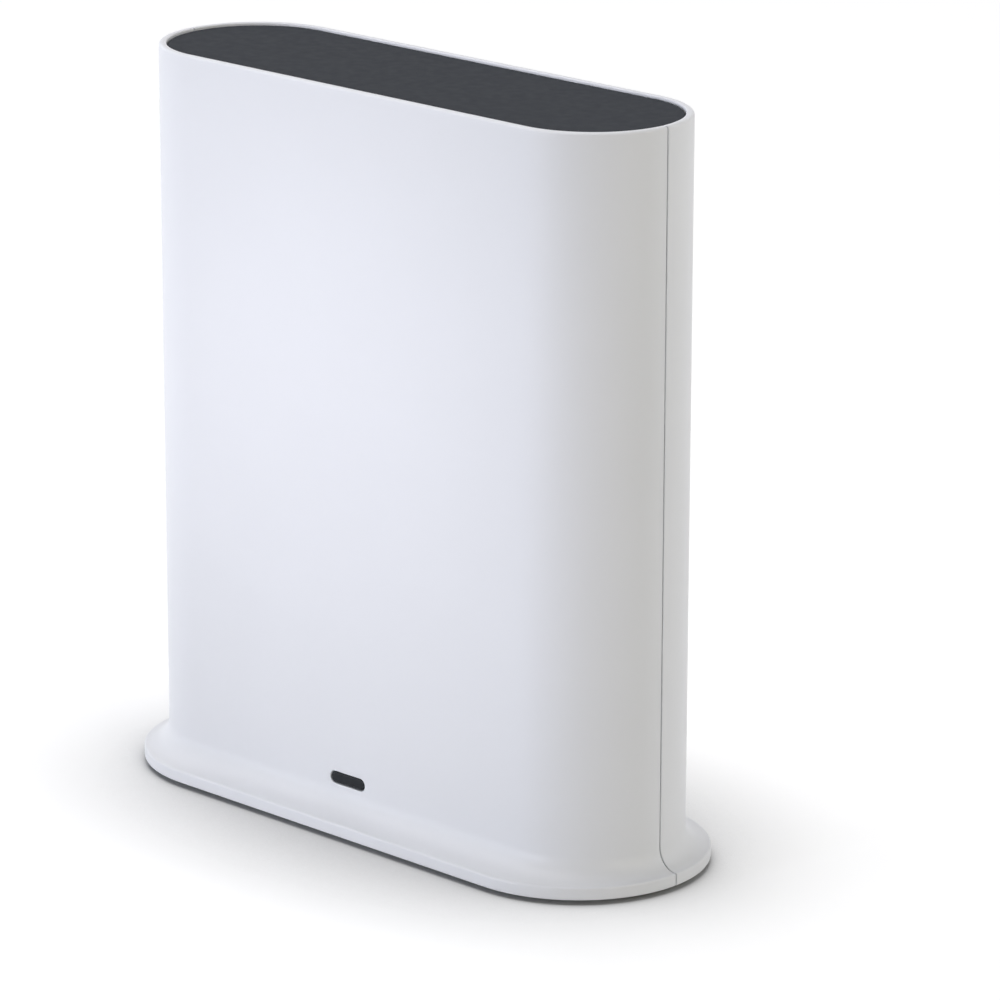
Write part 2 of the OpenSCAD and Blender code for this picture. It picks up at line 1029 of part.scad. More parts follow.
module capacitors() {
    color(STEEL)
        for (z = inductor_zs) {
            on_board(capacitor_x, z, capacitor_base, capacitor_base, capacitor_base_t);
            translate([capacitor_x, board_front, z])
                rotate([90, 0, 0])
                    rotate_extrude()
                        difference() {
                            translate([0, capacitor_base_t])
                                square([capacitor_r, capacitor_t - capacitor_base_t]);
                            corner_waste([capacitor_r, capacitor_t], [-1, -1], capacitor_edge_r);
                        }
        }
}

module radio_shields() {
    color(STEEL)
        for (side = [-1, 1])
            translate([side * shield_x, 0, shield_z])
                difference() {
                    along_y(board_front - shield_t, board_front)
                        block(shield_w, shield_h);
                    along_y(board_front - shield_t + shield_skin, board_front + bleed)
                        block(shield_w, shield_h, -shield_skin);
                }
}

module antenna_boards() {
    color(BOARD_GREEN)
        along_y(antenna_face - antenna_t, antenna_face)
            difference() {
                for (side = [-1, 1])
                    translate([side * antenna_x - antenna_w / 2, antenna_low])
                        square([antenna_w, antenna_h]);
                for (p = antenna_pegs())
                    translate(p)
                        circle(antenna_peg_r + antenna_peg_gap);
            }
}

module coax_leads() {
    color([0.12, 0.12, 0.13])
        for (side = [-1, 1])
            translate([side * antenna_x, 0, 0]) {
                translate([0, coax_y, coax_start_z])
                    cylinder(r = coax_r, h = coax_turn_z - coax_bend - coax_start_z);
                translate([0, coax_y - coax_bend, coax_turn_z - coax_bend])
                    rotate([90, 0, 90])
                        rotate_extrude(angle = 90)
                            translate([coax_bend, 0])
                                circle(coax_r);
                along_y(coax_end_y + coax_bend, coax_y - coax_bend)
                    translate([0, coax_turn_z])
                        circle(coax_r);
                translate([0, coax_end_y + coax_bend, coax_turn_z + coax_bend])
                    rotate([90, 0, 90])
                        rotate([0, 0, 180])
                            rotate_extrude(angle = 90)
                                translate([coax_bend, 0])
                                    circle(coax_r);
                translate([0, coax_end_y, coax_turn_z + coax_bend])
                    cylinder(r = coax_r, h = coax_end_z - coax_turn_z - coax_bend);
            }
}

module coax_plugs() {
    color(GOLD)
        for (side = [-1, 1])
            along_y(board_front - plug_t, board_front)
                translate([side * antenna_x, coax_plug_z])
                    circle(plug_r);
}

front_shell();
rear_shell();
top_cap();
base_plate();
foot_pads();
base_screws();
status_window();
light_pipe();
status_light();
main_board();
board_screws();
ethernet_jack();
ethernet_shield();
ethernet_contacts();
usb_shell();
usb_tongue();
usb_contacts();
power_jack();
power_pin();
sync_button();
sync_switch();
sync_stem();
reset_switch();
reset_stem();
processor();
thermal_pad();
heat_sink();
sink_pins();
memory_chips();
flash_chip();
crystal();
network_transformer();
power_inductors();
capacitors();
radio_shields();
antenna_boards();
coax_leads();
coax_plugs();
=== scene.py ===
import math

import bmesh
import bpy
import numpy as np
from bpy.props import FloatProperty, FloatVectorProperty, IntProperty, PointerProperty
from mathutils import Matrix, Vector


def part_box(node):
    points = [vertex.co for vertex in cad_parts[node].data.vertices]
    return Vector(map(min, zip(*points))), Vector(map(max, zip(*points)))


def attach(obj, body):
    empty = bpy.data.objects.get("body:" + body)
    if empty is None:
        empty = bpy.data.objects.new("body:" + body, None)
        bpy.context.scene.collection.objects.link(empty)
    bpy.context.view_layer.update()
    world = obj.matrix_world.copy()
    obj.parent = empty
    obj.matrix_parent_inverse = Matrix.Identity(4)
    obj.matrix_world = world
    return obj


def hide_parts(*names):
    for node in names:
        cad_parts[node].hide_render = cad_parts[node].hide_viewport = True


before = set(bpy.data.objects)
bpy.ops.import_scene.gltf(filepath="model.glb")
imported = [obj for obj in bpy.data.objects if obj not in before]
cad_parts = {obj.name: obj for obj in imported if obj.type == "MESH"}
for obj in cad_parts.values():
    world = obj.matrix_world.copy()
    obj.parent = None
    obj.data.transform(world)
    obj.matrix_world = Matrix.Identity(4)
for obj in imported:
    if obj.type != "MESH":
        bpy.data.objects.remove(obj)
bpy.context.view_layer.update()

bl_info = {
    "name": "Camera base station",
    "version": (1, 0, 0),
    "blender": (4, 5, 0),
    "location": "View3D > Sidebar > Base station",
    "description": "Builds the visible pieces of an upright camera base station round its packed frame",
    "category": "Object",
}

MM = 0.001
MICRON = 1e-6


def corners(node):
    """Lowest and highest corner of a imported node, as the two rows of an array."""
    return np.array([tuple(corner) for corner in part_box(node)])


# Places that the frame gives, in metres

REAR = corners("rear_shell")
FRONT = corners("front_shell")
CAP = corners("top_cap")
BASE = corners("base_plate")
PADS = corners("foot_pads")
BASE_SCREWS = corners("base_screws")
WINDOW = corners("status_window")
PIPE = corners("light_pipe")
SYNC = corners("sync_button")
JACK = corners("ethernet_jack")
SHIELD = corners("ethernet_shield")
WIRES = corners("ethernet_contacts")
PORT = corners("usb_shell")
TONGUE = corners("usb_tongue")
STRIPS = corners("usb_contacts")
POWER = corners("power_jack")
PIN = corners("power_pin")
RESET = corners("reset_stem")
BOARD = corners("main_board")
BOARD_SCREWS = corners("board_screws")
ANTENNAS = corners("antenna_boards")
FOOT_R = REAR[1, 1]
FOOT_SPINE = REAR[1, 0] - FOOT_R
FOOT_LOW = REAR[0, 2]
TOP = REAR[1, 2]
SEAM_FRONT = FRONT[1, 1]
CAP_R = CAP[1, 1]
SPINE = CAP[1, 0] - CAP_R
CAP_TOP = CAP[1, 2]
INNER_R = -WINDOW[1, 1]
BAY_FLOOR = PORT[1, 1]


def length(name, description, millimetres):
    """Property for a size, given in millimetres and kept in metres."""
    return FloatProperty(name=name, description=description, default=millimetres * MM,
                         unit="LENGTH", precision=5)


def amount(name, description, value, **limits):
    """Property for a plain amount, such as a share."""
    return FloatProperty(name=name, description=description, default=value, **limits)


def power(name, description, value):
    """Property for the strength of a light."""
    return amount(name, description, value, min=0)


def tally(name, description, value):
    """Property for a number of like things."""
    return IntProperty(name=name, description=description, default=value)


def colour(name, description, *rgb):
    """Property for a colour, given as display values from 0 to 255 and kept as linear light by the sRGB
    curve."""
    shares = [value / 255 for value in rgb]
    linear = [s / 12.92 if s <= 0.04045 else ((s + 0.055) / 1.055) ** 2.4 for s in shares]
    return FloatVectorProperty(name=name, description=description, default=linear, size=3,
                               min=0, max=1, subtype="COLOR")


class HousingSizes(bpy.types.PropertyGroup):
    """Sizes of the two shells and the cap"""

    flare_height: length("Flare height", "Height of the hollow curve from the body into the foot", 4.8)
    flange_height: length("Flange height", "Height of the foot's upright edge", 2.8)
    flange_wall: length("Flange wall", "Width of the edge below, round the base plate", 1.6)
    foot_edge: length("Foot edge", "Rounding of the foot's upright edge", 0.5)
    wall: length("Wall", "Thickness of the moulded walls", 2)
    rim: length("Rim", "Width of the white rim round the cap", 1.7)
    rim_outer: length("Rim's outer rounding", "Rounding of the rim's outer edge", 0.7)
    rim_inner: length("Rim's inner rounding", "Rounding of the rim's inner edge", 0.35)
    cap_gap: length("Cap gap", "Gap between the cap and the rim", 0.2)
    cap_thickness: length("Cap thickness", "Thickness of the cap", 2)
    cap_edge: length("Cap edge", "Rounding of the cap's upper edge", 0.3)
    ledge_width: length("Ledge width", "Width of the ledge that carries the cap", 2.2)
    ledge_thickness: length("Ledge thickness", "Thickness of that ledge", 1.6)
    clip_width: length("Clip width", "Width of each clip under the cap", 8)
    clip_pitch: length("Clip pitch", "Distance between the clips along a side", 24)
    base_seat: length("Base seat", "Height of the base plate's seat, and thickness of the plate", 1.6)
    seam_gap: length("Seam gap", "Gap that shows between the two shells", 0.3)
    seam_round: length("Seam rounding", "Rounding of the shells' edges along the seam", 0.18)
    edge_round: length("Hole rounding", "Rounding of the edges of holes", 0.2)
    inner_round: length("Inner rounding", "Rounding of edges inside the housing", 0.2)
    tongue_reach: length("Tongue reach", "Reach of the strip that backs the seam, to each side", 3)
    tongue_thickness: length("Tongue thickness", "Thickness of that strip", 0.9)


class OpeningSizes(bpy.types.PropertyGroup):
    """Sizes of the bay, the vents and the holes"""

    bay_width: length("Bay width", "Width of the port bay", 66)
    bay_height: length("Bay height", "Height of the port bay", 22)
    bay_level: length("Bay level", "Height of the middle of the bay above the table", 25)
    bay_corner: length("Bay corner", "Corner radius of the bay", 3)
    bay_edge: length("Bay edge", "Rounding of the bay's mouth and of its floor", 0.6)
    panel: length("Bay wall", "Thickness of the bay's walls", 1.6)
    port_gap: length("Port gap", "Gap round each port", 0.3)
    port_edge: length("Port edge", "Rounding of the ports' holes", 0.15)
    pinhole: length("Pinhole radius", "Radius of the hole in front of the reset switch", 0.8)
    rear_vents: tally("Rear vents", "Number of slots high on the rear", 13)
    rear_vent_pitch: length("Rear vent pitch", "Distance between those slots", 5)
    rear_vent_length: length("Rear vent length", "Length of such a slot", 15)
    rear_vent_drop: length("Rear vent drop", "Distance of the slots' middle below the rim", 22)
    vent_width: length("Vent width", "Width of a vent slot", 2)
    base_vents: tally("Base vents", "Number of slots in each row below", 9)
    base_vent_pitch: length("Base vent pitch", "Distance between the slots below", 6)
    base_vent_length: length("Base vent length", "Length of a slot below", 13)
    base_vent_y: length("Base vent place", "Distance of each row from the middle", 9)
    sync_gap: length("Button gap", "Gap round the sync button", 0.35)
    window_gap: length("Window gap", "Gap round the status window", 0.2)


class FittingSizes(bpy.types.PropertyGroup):
    """Sizes of the button, the ports, the pads, the screws and the posts"""

    button_flange: length("Button flange", "Reach of the flange that holds the sync button in", 1.4)
    button_flange_t: length("Button flange thickness", "Thickness of that flange", 1)
    button_edge: length("Button edge", "Rounding of the button's crown", 0.6)
    button_dish: length("Button dish", "Depth of the hollow in the button's crown", 0.25)
    stalk: length("Button stalk", "Radius of the stalk that reaches the switch", 2)
    collar_gap: length("Collar gap", "Gap between the button's flange and its collar", 0.4)
    collar_t: length("Collar thickness", "Thickness of the collar inside the rear wall", 1.4)
    collar_h: length("Collar height", "Height of that collar", 3)
    plug_width: length("Plug width", "Width of the network jack's mouth", 11.9)
    plug_height: length("Plug height", "Height of that mouth", 6.8)
    plug_rise: length("Plug rise", "Height of the mouth's middle above the jack's", 0.8)
    latch_width: length("Latch width", "Width of the notch for the plug's latch", 6)
    latch_drop: length("Latch drop", "Depth of that notch below the mouth", 2.4)
    jack_back: length("Jack back", "Thickness of the jack behind its mouth", 1.8)
    wire_pitch: length("Wire pitch", "Distance between the network jack's wires", 1.02)
    wire: length("Wire", "Thickness of such a wire", 0.4)
    wires: tally("Wires", "Number of the network jack's wires", 8)
    port_skin: length("Port shell", "Thickness of the steel round the flat port", 0.35)
    port_corner: length("Port corner", "Corner radius of that steel", 0.6)
    port_block: length("Port block", "Depth of the block behind the flat port", 3)
    tongue_width: length("Tongue width", "Width of the tongue in the flat port", 11)
    tongue_height: length("Tongue height", "Height of that tongue", 1.9)
    tongue_lift: length("Tongue lift", "Height of the tongue's middle above the port's", 1)
    strips: tally("Strips", "Number of contact strips on the tongue", 4)
    strip_width: length("Strip width", "Width of such a strip", 1)
    power_bore: length("Power bore", "Radius of the power jack's bore", 3.2)
    power_back: length("Power back", "Thickness of the power jack behind its bore", 3.5)
    pad_radius: length("Pad radius", "Radius of a foot pad", 6)
    pad_edge: length("Pad edge", "Rounding of a pad's lower edge", 0.35)
    pad_sink: length("Pad sink", "Depth of the pads' seats in the base plate", 0.6)
    pad_gap: length("Pad gap", "Gap round the pads in their seats", 0.15)
    head_radius: length("Head radius", "Radius of a screw's head", 2.4)
    head_height: length("Head height", "Height of a screw's head", 1.4)
    head_gap: length("Head gap", "Gap round a screw's head", 0.3)
    shank_radius: length("Shank radius", "Radius of a screw's shank", 1.2)
    recess_reach: length("Recess reach", "Reach of the cross in a screw's head", 1.4)
    recess_width: length("Recess width", "Width of that cross's arms", 0.6)
    recess_depth: length("Recess depth", "Depth of that cross", 0.8)
    boss_radius: length("Boss radius", "Radius of a boss round a screw, on the base plate", 4.2)
    post_radius: length("Post radius", "Radius of the posts inside the housing", 3.2)
    post_height: length("Post height", "Height of the posts above the base plate", 18)
    rib: length("Rib", "Thickness of the rib from a post to the wall", 1.6)
    rib_height: length("Rib height", "Height of that rib", 9)
    pilot_depth: length("Pilot depth", "Depth of the pilot holes in the posts", 9)


class Finishes(bpy.types.PropertyGroup):
    """Colours of the finishes"""

    shell: colour("Shell", "Satin white plastic of the housing", 238, 239, 241)
    cap: colour("Cap", "Slate plastic of the top cap", 48, 51, 56)
    window: colour("Window", "Smoked plastic of the status window", 30, 33, 38)
    rubber: colour("Rubber", "Rubber of the foot pads", 46, 46, 48)
    steel: colour("Steel", "Plated steel of shields and screws", 196, 197, 199)
    gold: colour("Gold", "Gold plating of the contacts", 232, 190, 104)
    black: colour("Black plastic", "Filled black plastic of the jacks", 30, 30, 32)
    board: colour("Board", "Solder mask of the boards", 22, 74, 44)


class StageSettings(bpy.types.PropertyGroup):
    """Camera, lamps and floor"""

    azimuth: amount("Azimuth", "Turn of the camera to the right of the front", math.radians(44.114),
                    subtype="ANGLE")
    elevation: amount("Elevation", "Rise of the camera above the horizon", math.radians(16.739),
                      subtype="ANGLE")
    distance: length("Distance", "Distance from the camera to the point that it looks at", 1161.012)
    target_x: length("Target across", "Place of that point along the width", 10.516)
    target_z: length("Target height", "Height of that point above the table", 71.845)
    lens: amount("Lens", "Focal length for a sensor 36 mm wide", 195.996)
    shift: amount("Shift", "Sideways shift of the picture, as a share of its width", 0.045)
    sky: power("Sky", "Strength of the even light from all round", 0.06)
    front_lamp: power("Front lamp", "Power of the cool lamp before the front, to the left, in watts", 7.2)
    left_lamp: power("Left lamp", "Power of the lamp at the left end, in watts", 2)
    top_lamp: power("Top lamp", "Power of the lamp above, to the left, in watts", 16.2)
    right_lamp: power("Right lamp", "Power of the warm lamp at the right end, in watts", 8.7)
    rear_lamp: power("Rear lamp", "Power of the lamp behind, to the right, in watts", 7.8)
    glow: power("Glow", "Power of the soft spot on the front, in watts", 53)
    glow_cone: amount("Glow cone", "Opening of that spot's cone", 0.21, subtype="ANGLE")
    floor_shade: amount("Floor shade", "Share of light that the floor gives back", 0.92)
    floor_lift: amount("Floor lift", "Light that the open floor shows by itself", 0.76)
    floor_seen: amount("Floor seen", "Share of the lamps' light that shows on the floor", 0.46)
    # Within this distance ambient occlusion takes the floor's own light away: a painted shadow round the
    # object.
    painted_shadow_reach: length("Floor reach", "Distance over which the object takes that light away", 70)




def sizes():
    """Sizes of the housing."""
    return bpy.context.scene.hub_housing


def holes():
    """Sizes of the openings."""
    return bpy.context.scene.hub_openings


def fittings():
    """Sizes of the fittings."""
    return bpy.context.scene.hub_fittings


# Surfaces

# Steps of a small rounding, pitch of the steps of a large one, steps round half of each end of the housing,
# round an outline's corner, along its side, along a finer one, and round a bevelled edge.
ROUND_STEPS = 4
ROUND_PITCH = 0.4 * MM
ARC_STEPS = 44
CORNER_STEPS = 5
SIDE_STEPS = 12
FINE_STEPS = 24
BEVEL_STEPS = 3
# Distance within which points are merged, and a length that counts as none.
MERGE = 1e-6
TINY = 1e-9
# Signs of the four mirrored places about the middle, and of an edge that opens out or draws in.
FOUR = np.array([(-1, -1), (-1, 1), (1, -1), (1, 1)])
WIDER = 1
NARROWER = -1


def unit(vectors):
    """Rows of an array, each divided by its length."""
    return vectors / np.linalg.norm(vectors, axis=-1, keepdims=True)


def lines(edges, counts):
    """Coordinates that run through the edges, with each stretch between them cut into its count of steps."""
    steps = [np.linspace(a, b, n, endpoint=False) for a, b, n in zip(edges[:-1], edges[1:], counts)]
    return np.concatenate([*steps, edges[-1:]])


def mirrored(edges):
    """Edges on both sides of the middle, from those on the far side in rising order."""
    edges = np.asarray(edges)
    return np.concatenate([-edges[::-1], edges])


def row(count, pitch):
    """Places of so many like things in a row about the middle."""
    return (np.arange(count) - (count - 1) / 2) * pitch


def rounded_corners(corner_list):
    """Arcs of a closed outline through right-angled corners (a, b, before, after). Each corner is cut
    back by before towards the last corner and by after towards the next, and a quarter of an ellipse
    joins the cuts: the corner plus (1 - sin) times the first cut plus (1 - cos) times the second."""
    table = np.array(corner_list, float)
    points = table[:, :2]
    first = unit(np.roll(points, 1, axis=0) - points) * table[:, 2:3]
    second = unit(np.roll(points, -1, axis=0) - points) * table[:, 3:4]
    counts = ROUND_STEPS + (table[:, 2:].max(axis=1) / ROUND_PITCH).astype(int)
    turns = [np.linspace(0, np.pi / 2, n)[:, None] for n in counts]
    return [p + a * (1 - np.sin(t)) + b * (1 - np.cos(t))
            for p, a, b, t in zip(points, first, second, turns)]


def side_of_outline(count, half):
    """Angles and core places along one side of a rounded rectangle: from 45 degrees before the side's own
    direction, along it, to 45 degrees after. The core place runs from -half to half on the straight."""
    quarter = np.pi / 4
    if half < TINY:
        return np.linspace(-quarter, quarter, count + 1)[:-1], np.zeros(count)
    straight = count - 2 * CORNER_STEPS
    core = np.linspace(-half, half, straight + 1)
    angle = np.concatenate([np.linspace(-quarter, 0, CORNER_STEPS + 1), np.zeros(straight - 1),
                            np.linspace(0, quarter, CORNER_STEPS + 1)])
    place = np.concatenate([np.full(CORNER_STEPS, -half), core, np.full(CORNER_STEPS, half)])
    return angle[:-1], place[:-1]


def outline(width, height, radius, nx, ny):
    """Rounded rectangle about the origin, anticlockwise from its lower left corner: a core place plus radius
    times (sin, cos) of the angle, with nx points along the sides across and ny along the upright ones."""
    a, b = max(width / 2 - radius, 0), max(height / 2 - radius, 0)
    turn_x, core_x = side_of_outline(nx, a)
    turn_y, core_y = side_of_outline(ny, b)
    along_x, out_y = core_x + radius * np.sin(turn_x), b + radius * np.cos(turn_x)
    along_y, out_x = core_y + radius * np.sin(turn_y), a + radius * np.cos(turn_y)
    return np.concatenate([np.column_stack([along_x, -out_y]), np.column_stack([out_x, along_y]),
                           np.column_stack([-along_x, out_y]), np.column_stack([-out_x, -along_y])])


def rectangle(us, vs):
    """Border of a grid of lines, anticlockwise from its lower left corner."""
    low, high = np.full(len(us) - 1, vs[0]), np.full(len(us) - 1, vs[-1])
    left, right = np.full(len(vs) - 1, us[0]), np.full(len(vs) - 1, us[-1])
    return np.concatenate([np.column_stack([us[:-1], low]), np.column_stack([right, vs[:-1]]),
                           np.column_stack([us[:0:-1], high]), np.column_stack([left, vs[:0:-1]])])


def lifted(loop, depth, flat):
    """Flat loop as points in space: its depth goes along axis number flat, and its own axes take the
    others."""
    return np.insert(loop, flat, depth, axis=1)


def rounding(edge):
    """Quarter circle as (growth, travel): growth falls from edge to 0 while travel rises from 0 to edge."""
    turn = np.linspace(0, np.pi / 2, ROUND_STEPS + 1)
    return np.column_stack([edge * (1 - np.sin(turn)), edge * (1 - np.cos(turn))])


def eased(size, depth, way, edge, grow):
    """Stations (width, height, radius, depth) round the edge of an outline at a depth. It starts wider or
    narrower by the growth of the rounding, and comes to its own size as the depth goes the way given."""
    width, height, radius = size
    return [(width + 2 * grow * g, height + 2 * grow * g, radius + grow * g, depth + way * t)
            for g, t in rounding(edge)]


def eased_run(size, start, end, edge, grow):
    """Stations of an outline from start to end, eased at both ends: wider for a hole, narrower for a bar."""
    way = np.sign(end - start)
    return eased(size, start, way, edge, grow) + eased(size, end, -way, edge, grow)[::-1]


def shoulder(radius, depth, way, edge):
    """Pairs of radius and depth round an edge of a turned form, from its end face out to its side."""
    return [(radius - g, depth + way * t) for g, t in rounding(edge)]


def sleeve(width, height, radius, wall, start, end):
    """Stations round the wall of a tube, out along its outside and back along its inside."""
    inside = (width - 2 * wall, height - 2 * wall, max(radius - wall, radius / 4))
    return [(width, height, radius, start), (width, height, radius, end), (*inside, end), (*inside, start)]


def closing(station):
    """Station that draws the one given together to the line or point in its middle."""
    width, height, _, depth = station
    return max(width - height, 0), max(height - width, 0), 0, depth


def rounded_bar(size, start, end, edge):
    """Stations of a closed bar from start to end, with its two end faces rounded off by edge."""
    stations = eased_run(size, start, end, edge, NARROWER)
    return [closing(stations[0]), *stations, closing(stations[-1])]


def turned(radii):
    """Stations of a round form from pairs of radius and depth."""
    return [(2 * r, 2 * r, r, depth) for r, depth in radii]


class Skin:
    """Gathers grids of points and the faces between them, and makes one closed mesh of them."""

    def __init__(self):
        self.points = []
        self.faces = []
        self.total = 0

    def grid(self, points, wrap_rows=False, wrap_columns=False, keep=None):
        """Quads between neighbouring points of a grid, which may close on itself either way."""
        rows, columns = points.shape[:2]
        index = self.total + np.arange(rows * columns).reshape(rows, columns)
        if wrap_rows:
            index = np.vstack([index, index[:1]])
        if wrap_columns:
            index = np.hstack([index, index[:, :1]])
        quads = np.stack([index[:-1, :-1], index[:-1, 1:], index[1:, 1:], index[1:, :-1]], axis=-1)
        self.faces.extend((quads[keep] if keep is not None else quads.reshape(-1, 4)).tolist())
        self.points.append(points.reshape(-1, 3))
        self.total += rows * columns

    def polygon(self, loop):
        """One face round a loop of points."""
        self.faces.append(list(range(self.total, self.total + len(loop))))
        self.points.append(loop)
        self.total += len(loop)

    def tube(self, loops, closed=False):
        """Quads between loops of equally many points, from the first loop to the last or round again."""
        self.grid(np.array(loops), wrap_rows=closed, wrap_columns=True)

    def bar(self, loop, start, end, flat):
        """Flat loop carried from one depth to another along axis number flat, with both ends closed."""
        ends = [lifted(loop, start, flat), lifted(loop, end, flat)]
        self.tube(ends)
        self.polygon(ends[0])
        self.polygon(ends[1])

    def loft(self, stations, centre, flat, nx=SIDE_STEPS, ny=SIDE_STEPS, closed=False):
        """Rounded rectangles at the stations, joined in order about a centre line along axis number flat."""
        loops = [lifted(outline(w, h, r, nx, ny) + centre, depth, flat) for w, h, r, depth in stations]
        self.tube(loops, closed)

    def strip(self, points, keep=None):
        """Closed sections in the columns of a grid, joined in order and closed at both ends."""
        self.grid(points, wrap_rows=True, keep=keep)
        self.polygon(points[:, 0])
        self.polygon(points[:, -1])

    def lattice(self, xs, ys, zs, solid):
        """Faces between the full and the empty cells of a lattice of lines."""
        shape = (len(xs), len(ys), len(zs))
        index = self.total + np.arange(np.prod(shape)).reshape(shape)
        for axis in range(3):
            edge = [(1, 1) if n == axis else (0, 0) for n in range(3)]
            change = np.diff(np.pad(solid.astype(int), edge), axis=axis)
            at = np.argwhere(change != 0)
            one, two = np.delete(np.eye(3, dtype=int), axis, axis=0)
            ring = [at, at + one, at + one + two, at + two]
            quads = np.stack([index[tuple(p.T)] for p in ring], axis=-1)
            self.faces.extend(quads.tolist())
        self.points.append(np.stack(np.meshgrid(xs, ys, zs, indexing="ij"), axis=-1).reshape(-1, 3))
        self.total += int(np.prod(shape))

    def piece(self, name, body, slot, node, bevel=0):
        """Merges the points that meet, turns the faces outwards and adds the object, riding on its body in
        place of its node."""
        mesh = bpy.data.meshes.new(name)
        mesh.from_pydata(np.concatenate(self.points).tolist(), [], self.faces)
        form = bmesh.new()
        form.from_mesh(mesh)
        bmesh.ops.remove_doubles(form, verts=form.verts, dist=MERGE)
        loose = [v for v in form.verts if not v.link_faces]
        bmesh.ops.delete(form, geom=loose, context="VERTS")
        bmesh.ops.recalc_face_normals(form, faces=form.faces)
        form.to_mesh(mesh)
        form.free()
        mesh.polygons.foreach_set("use_smooth", np.ones(len(mesh.polygons), bool))
        mesh.materials.append(finish(slot))
        made = bpy.data.objects.new(name, mesh)
        bpy.context.scene.collection.objects.link(made)
        if bevel:
            edge = made.modifiers.new("Rounded edges", "BEVEL")
            edge.width = bevel
            edge.segments = BEVEL_STEPS
            edge.limit_method = "ANGLE"
        made.modifiers.new("Face weight", "WEIGHTED_NORMAL")
        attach(made, body)
        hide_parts(node)


class Plate:
    """Flat plate on a grid of lines, square to axis number flat, with holes and bosses in whole cells."""

    def __init__(self, skin, us, vs, flat, depths):
        self.skin = skin
        self.us, self.vs, self.flat, self.depths = us, vs, flat, depths
        self.keep = [np.ones((len(us) - 1, len(vs) - 1), bool) for _ in depths]

    def cells(self, centre, reach):
        """First and last grid line of a patch about a centre, along both axes."""
        def nearest(line, value):
            return int(np.argmin(np.abs(line - value)))
        return [(nearest(line, c - r), nearest(line, c + r))
                for line, c, r in zip((self.us, self.vs), centre, reach)]

    def patch(self, centre, reach, faces):
        """Takes a patch of cells out of the faces, and gives the lines that bound it."""
        (u0, u1), (v0, v1) = self.cells(centre, reach)
        for face in faces:
            self.keep[face][u0:u1, v0:v1] = False
        return self.us[u0:u1 + 1], self.vs[v0:v1 + 1]

    def form(self, centre, reach, stations, start, end=None):
        """Loft from a patch of face number start through the stations to that patch of face number end."""
        us, vs = self.patch(centre, reach, [start] if end is None else [start, end])
        border = rectangle(us, vs)
        loops = [lifted(border, self.depths[start], self.flat)]
        loops += [lifted(outline(w, h, r, len(us) - 1, len(vs) - 1) + centre, depth, self.flat)
                  for w, h, r, depth in stations]
        if end is not None:
            loops.append(lifted(border, self.depths[end], self.flat))
        self.skin.tube(loops)

    def close(self):
        """Adds what is left of each face."""
        u, v = np.meshgrid(self.us, self.vs, indexing="ij")
        for depth, keep in zip(self.depths, self.keep):
            points = np.insert(np.stack([u, v], axis=-1), self.flat, depth, axis=-1)
            self.skin.grid(points, keep=keep)


# Finishes

# Lumps to the metre of a moulded skin's grain, of its colour's drift and of its mottle.
GRAIN = 5000.0
DRIFT = 18.0
MOTTLE = 420.0
# Streaks to the metre across and along drawn metal, lumps of its tarnish, how dark that is, and its relief.
ACROSS = 9000.0
ALONG = 250.0
TARNISH = 160.0
TARNISHED = 0.86
RELIEF = 4 * MICRON
# Strength of the finer lumps in every noise.
NOISE_ROUGHNESS = 0.55
# Spans of the noises that are stretched to run from 0 to 1.
SKIN_SPAN = (0.3, 0.7)
STREAK_SPAN = (0.25, 0.75)
TARNISH_SPAN = (0.35, 0.7)


class Shader:
    """Node tree that is filled node by node, with sockets and plain values given by name."""

    def __init__(self, tree):
        self.tree = tree

    def set(self, socket, value):
        """Links a socket to another, or sets it to a plain value."""
        if isinstance(value, bpy.types.NodeSocket):
            self.tree.links.new(value, socket)
        else:
            socket.default_value = value

    def add(self, kind, inputs=None, **settings):
        """New node of a kind, with its settings made and each input linked or set."""
        made = self.tree.nodes.new("ShaderNode" + kind)
        for name, value in settings.items():
            setattr(made, name, value)
        for name, value in (inputs or {}).items():
            self.set(made.inputs[name], value)
        return made

    def noise(self, vector, scale, detail):
        """Value of a cloud of noise with that many lumps to the metre."""
        made = self.add("TexNoise", {"Vector": vector, "Scale": scale, "Detail": detail,
                                     "Roughness": NOISE_ROUGHNESS})
        return made.outputs["Fac"]

    def spread(self, value, low, high, to_low=0.0, to_high=1.0):
        """Value stretched from one span to another, and held to it."""
        made = self.add("MapRange", {"Value": value, "From Min": low, "From Max": high,
                                     "To Min": to_low, "To Max": to_high})
        return made.outputs["Result"]

    def blend(self, factor, one, two):
        """Colour between two, by a factor. The node's sockets 6 and 7 are its two colours."""
        made = self.add("Mix", data_type="RGBA")
        for number, value in ((0, factor), (6, one), (7, two)):
            self.set(made.inputs[number], value)
        return made.outputs[2]

    def place(self):
        """Places on the object itself."""
        return self.add("TexCoord").outputs["Object"]


def group(name, inputs, outputs):
    """New node group with its sockets, as a shader with its inner input and output nodes."""
    tree = bpy.data.node_groups.new(name, "ShaderNodeTree")
    for socket, value in inputs.items():
        made = tree.interface.new_socket(name=socket, in_out="INPUT", socket_type="NodeSocketFloat")
        made.default_value = value
    for socket in outputs:
        tree.interface.new_socket(name=socket, in_out="OUTPUT", socket_type="NodeSocketFloat")
    shader = Shader(tree)
    shader.entry = tree.nodes.new("NodeGroupInput").outputs
    shader.exit = tree.nodes.new("NodeGroupOutput").inputs
    return shader


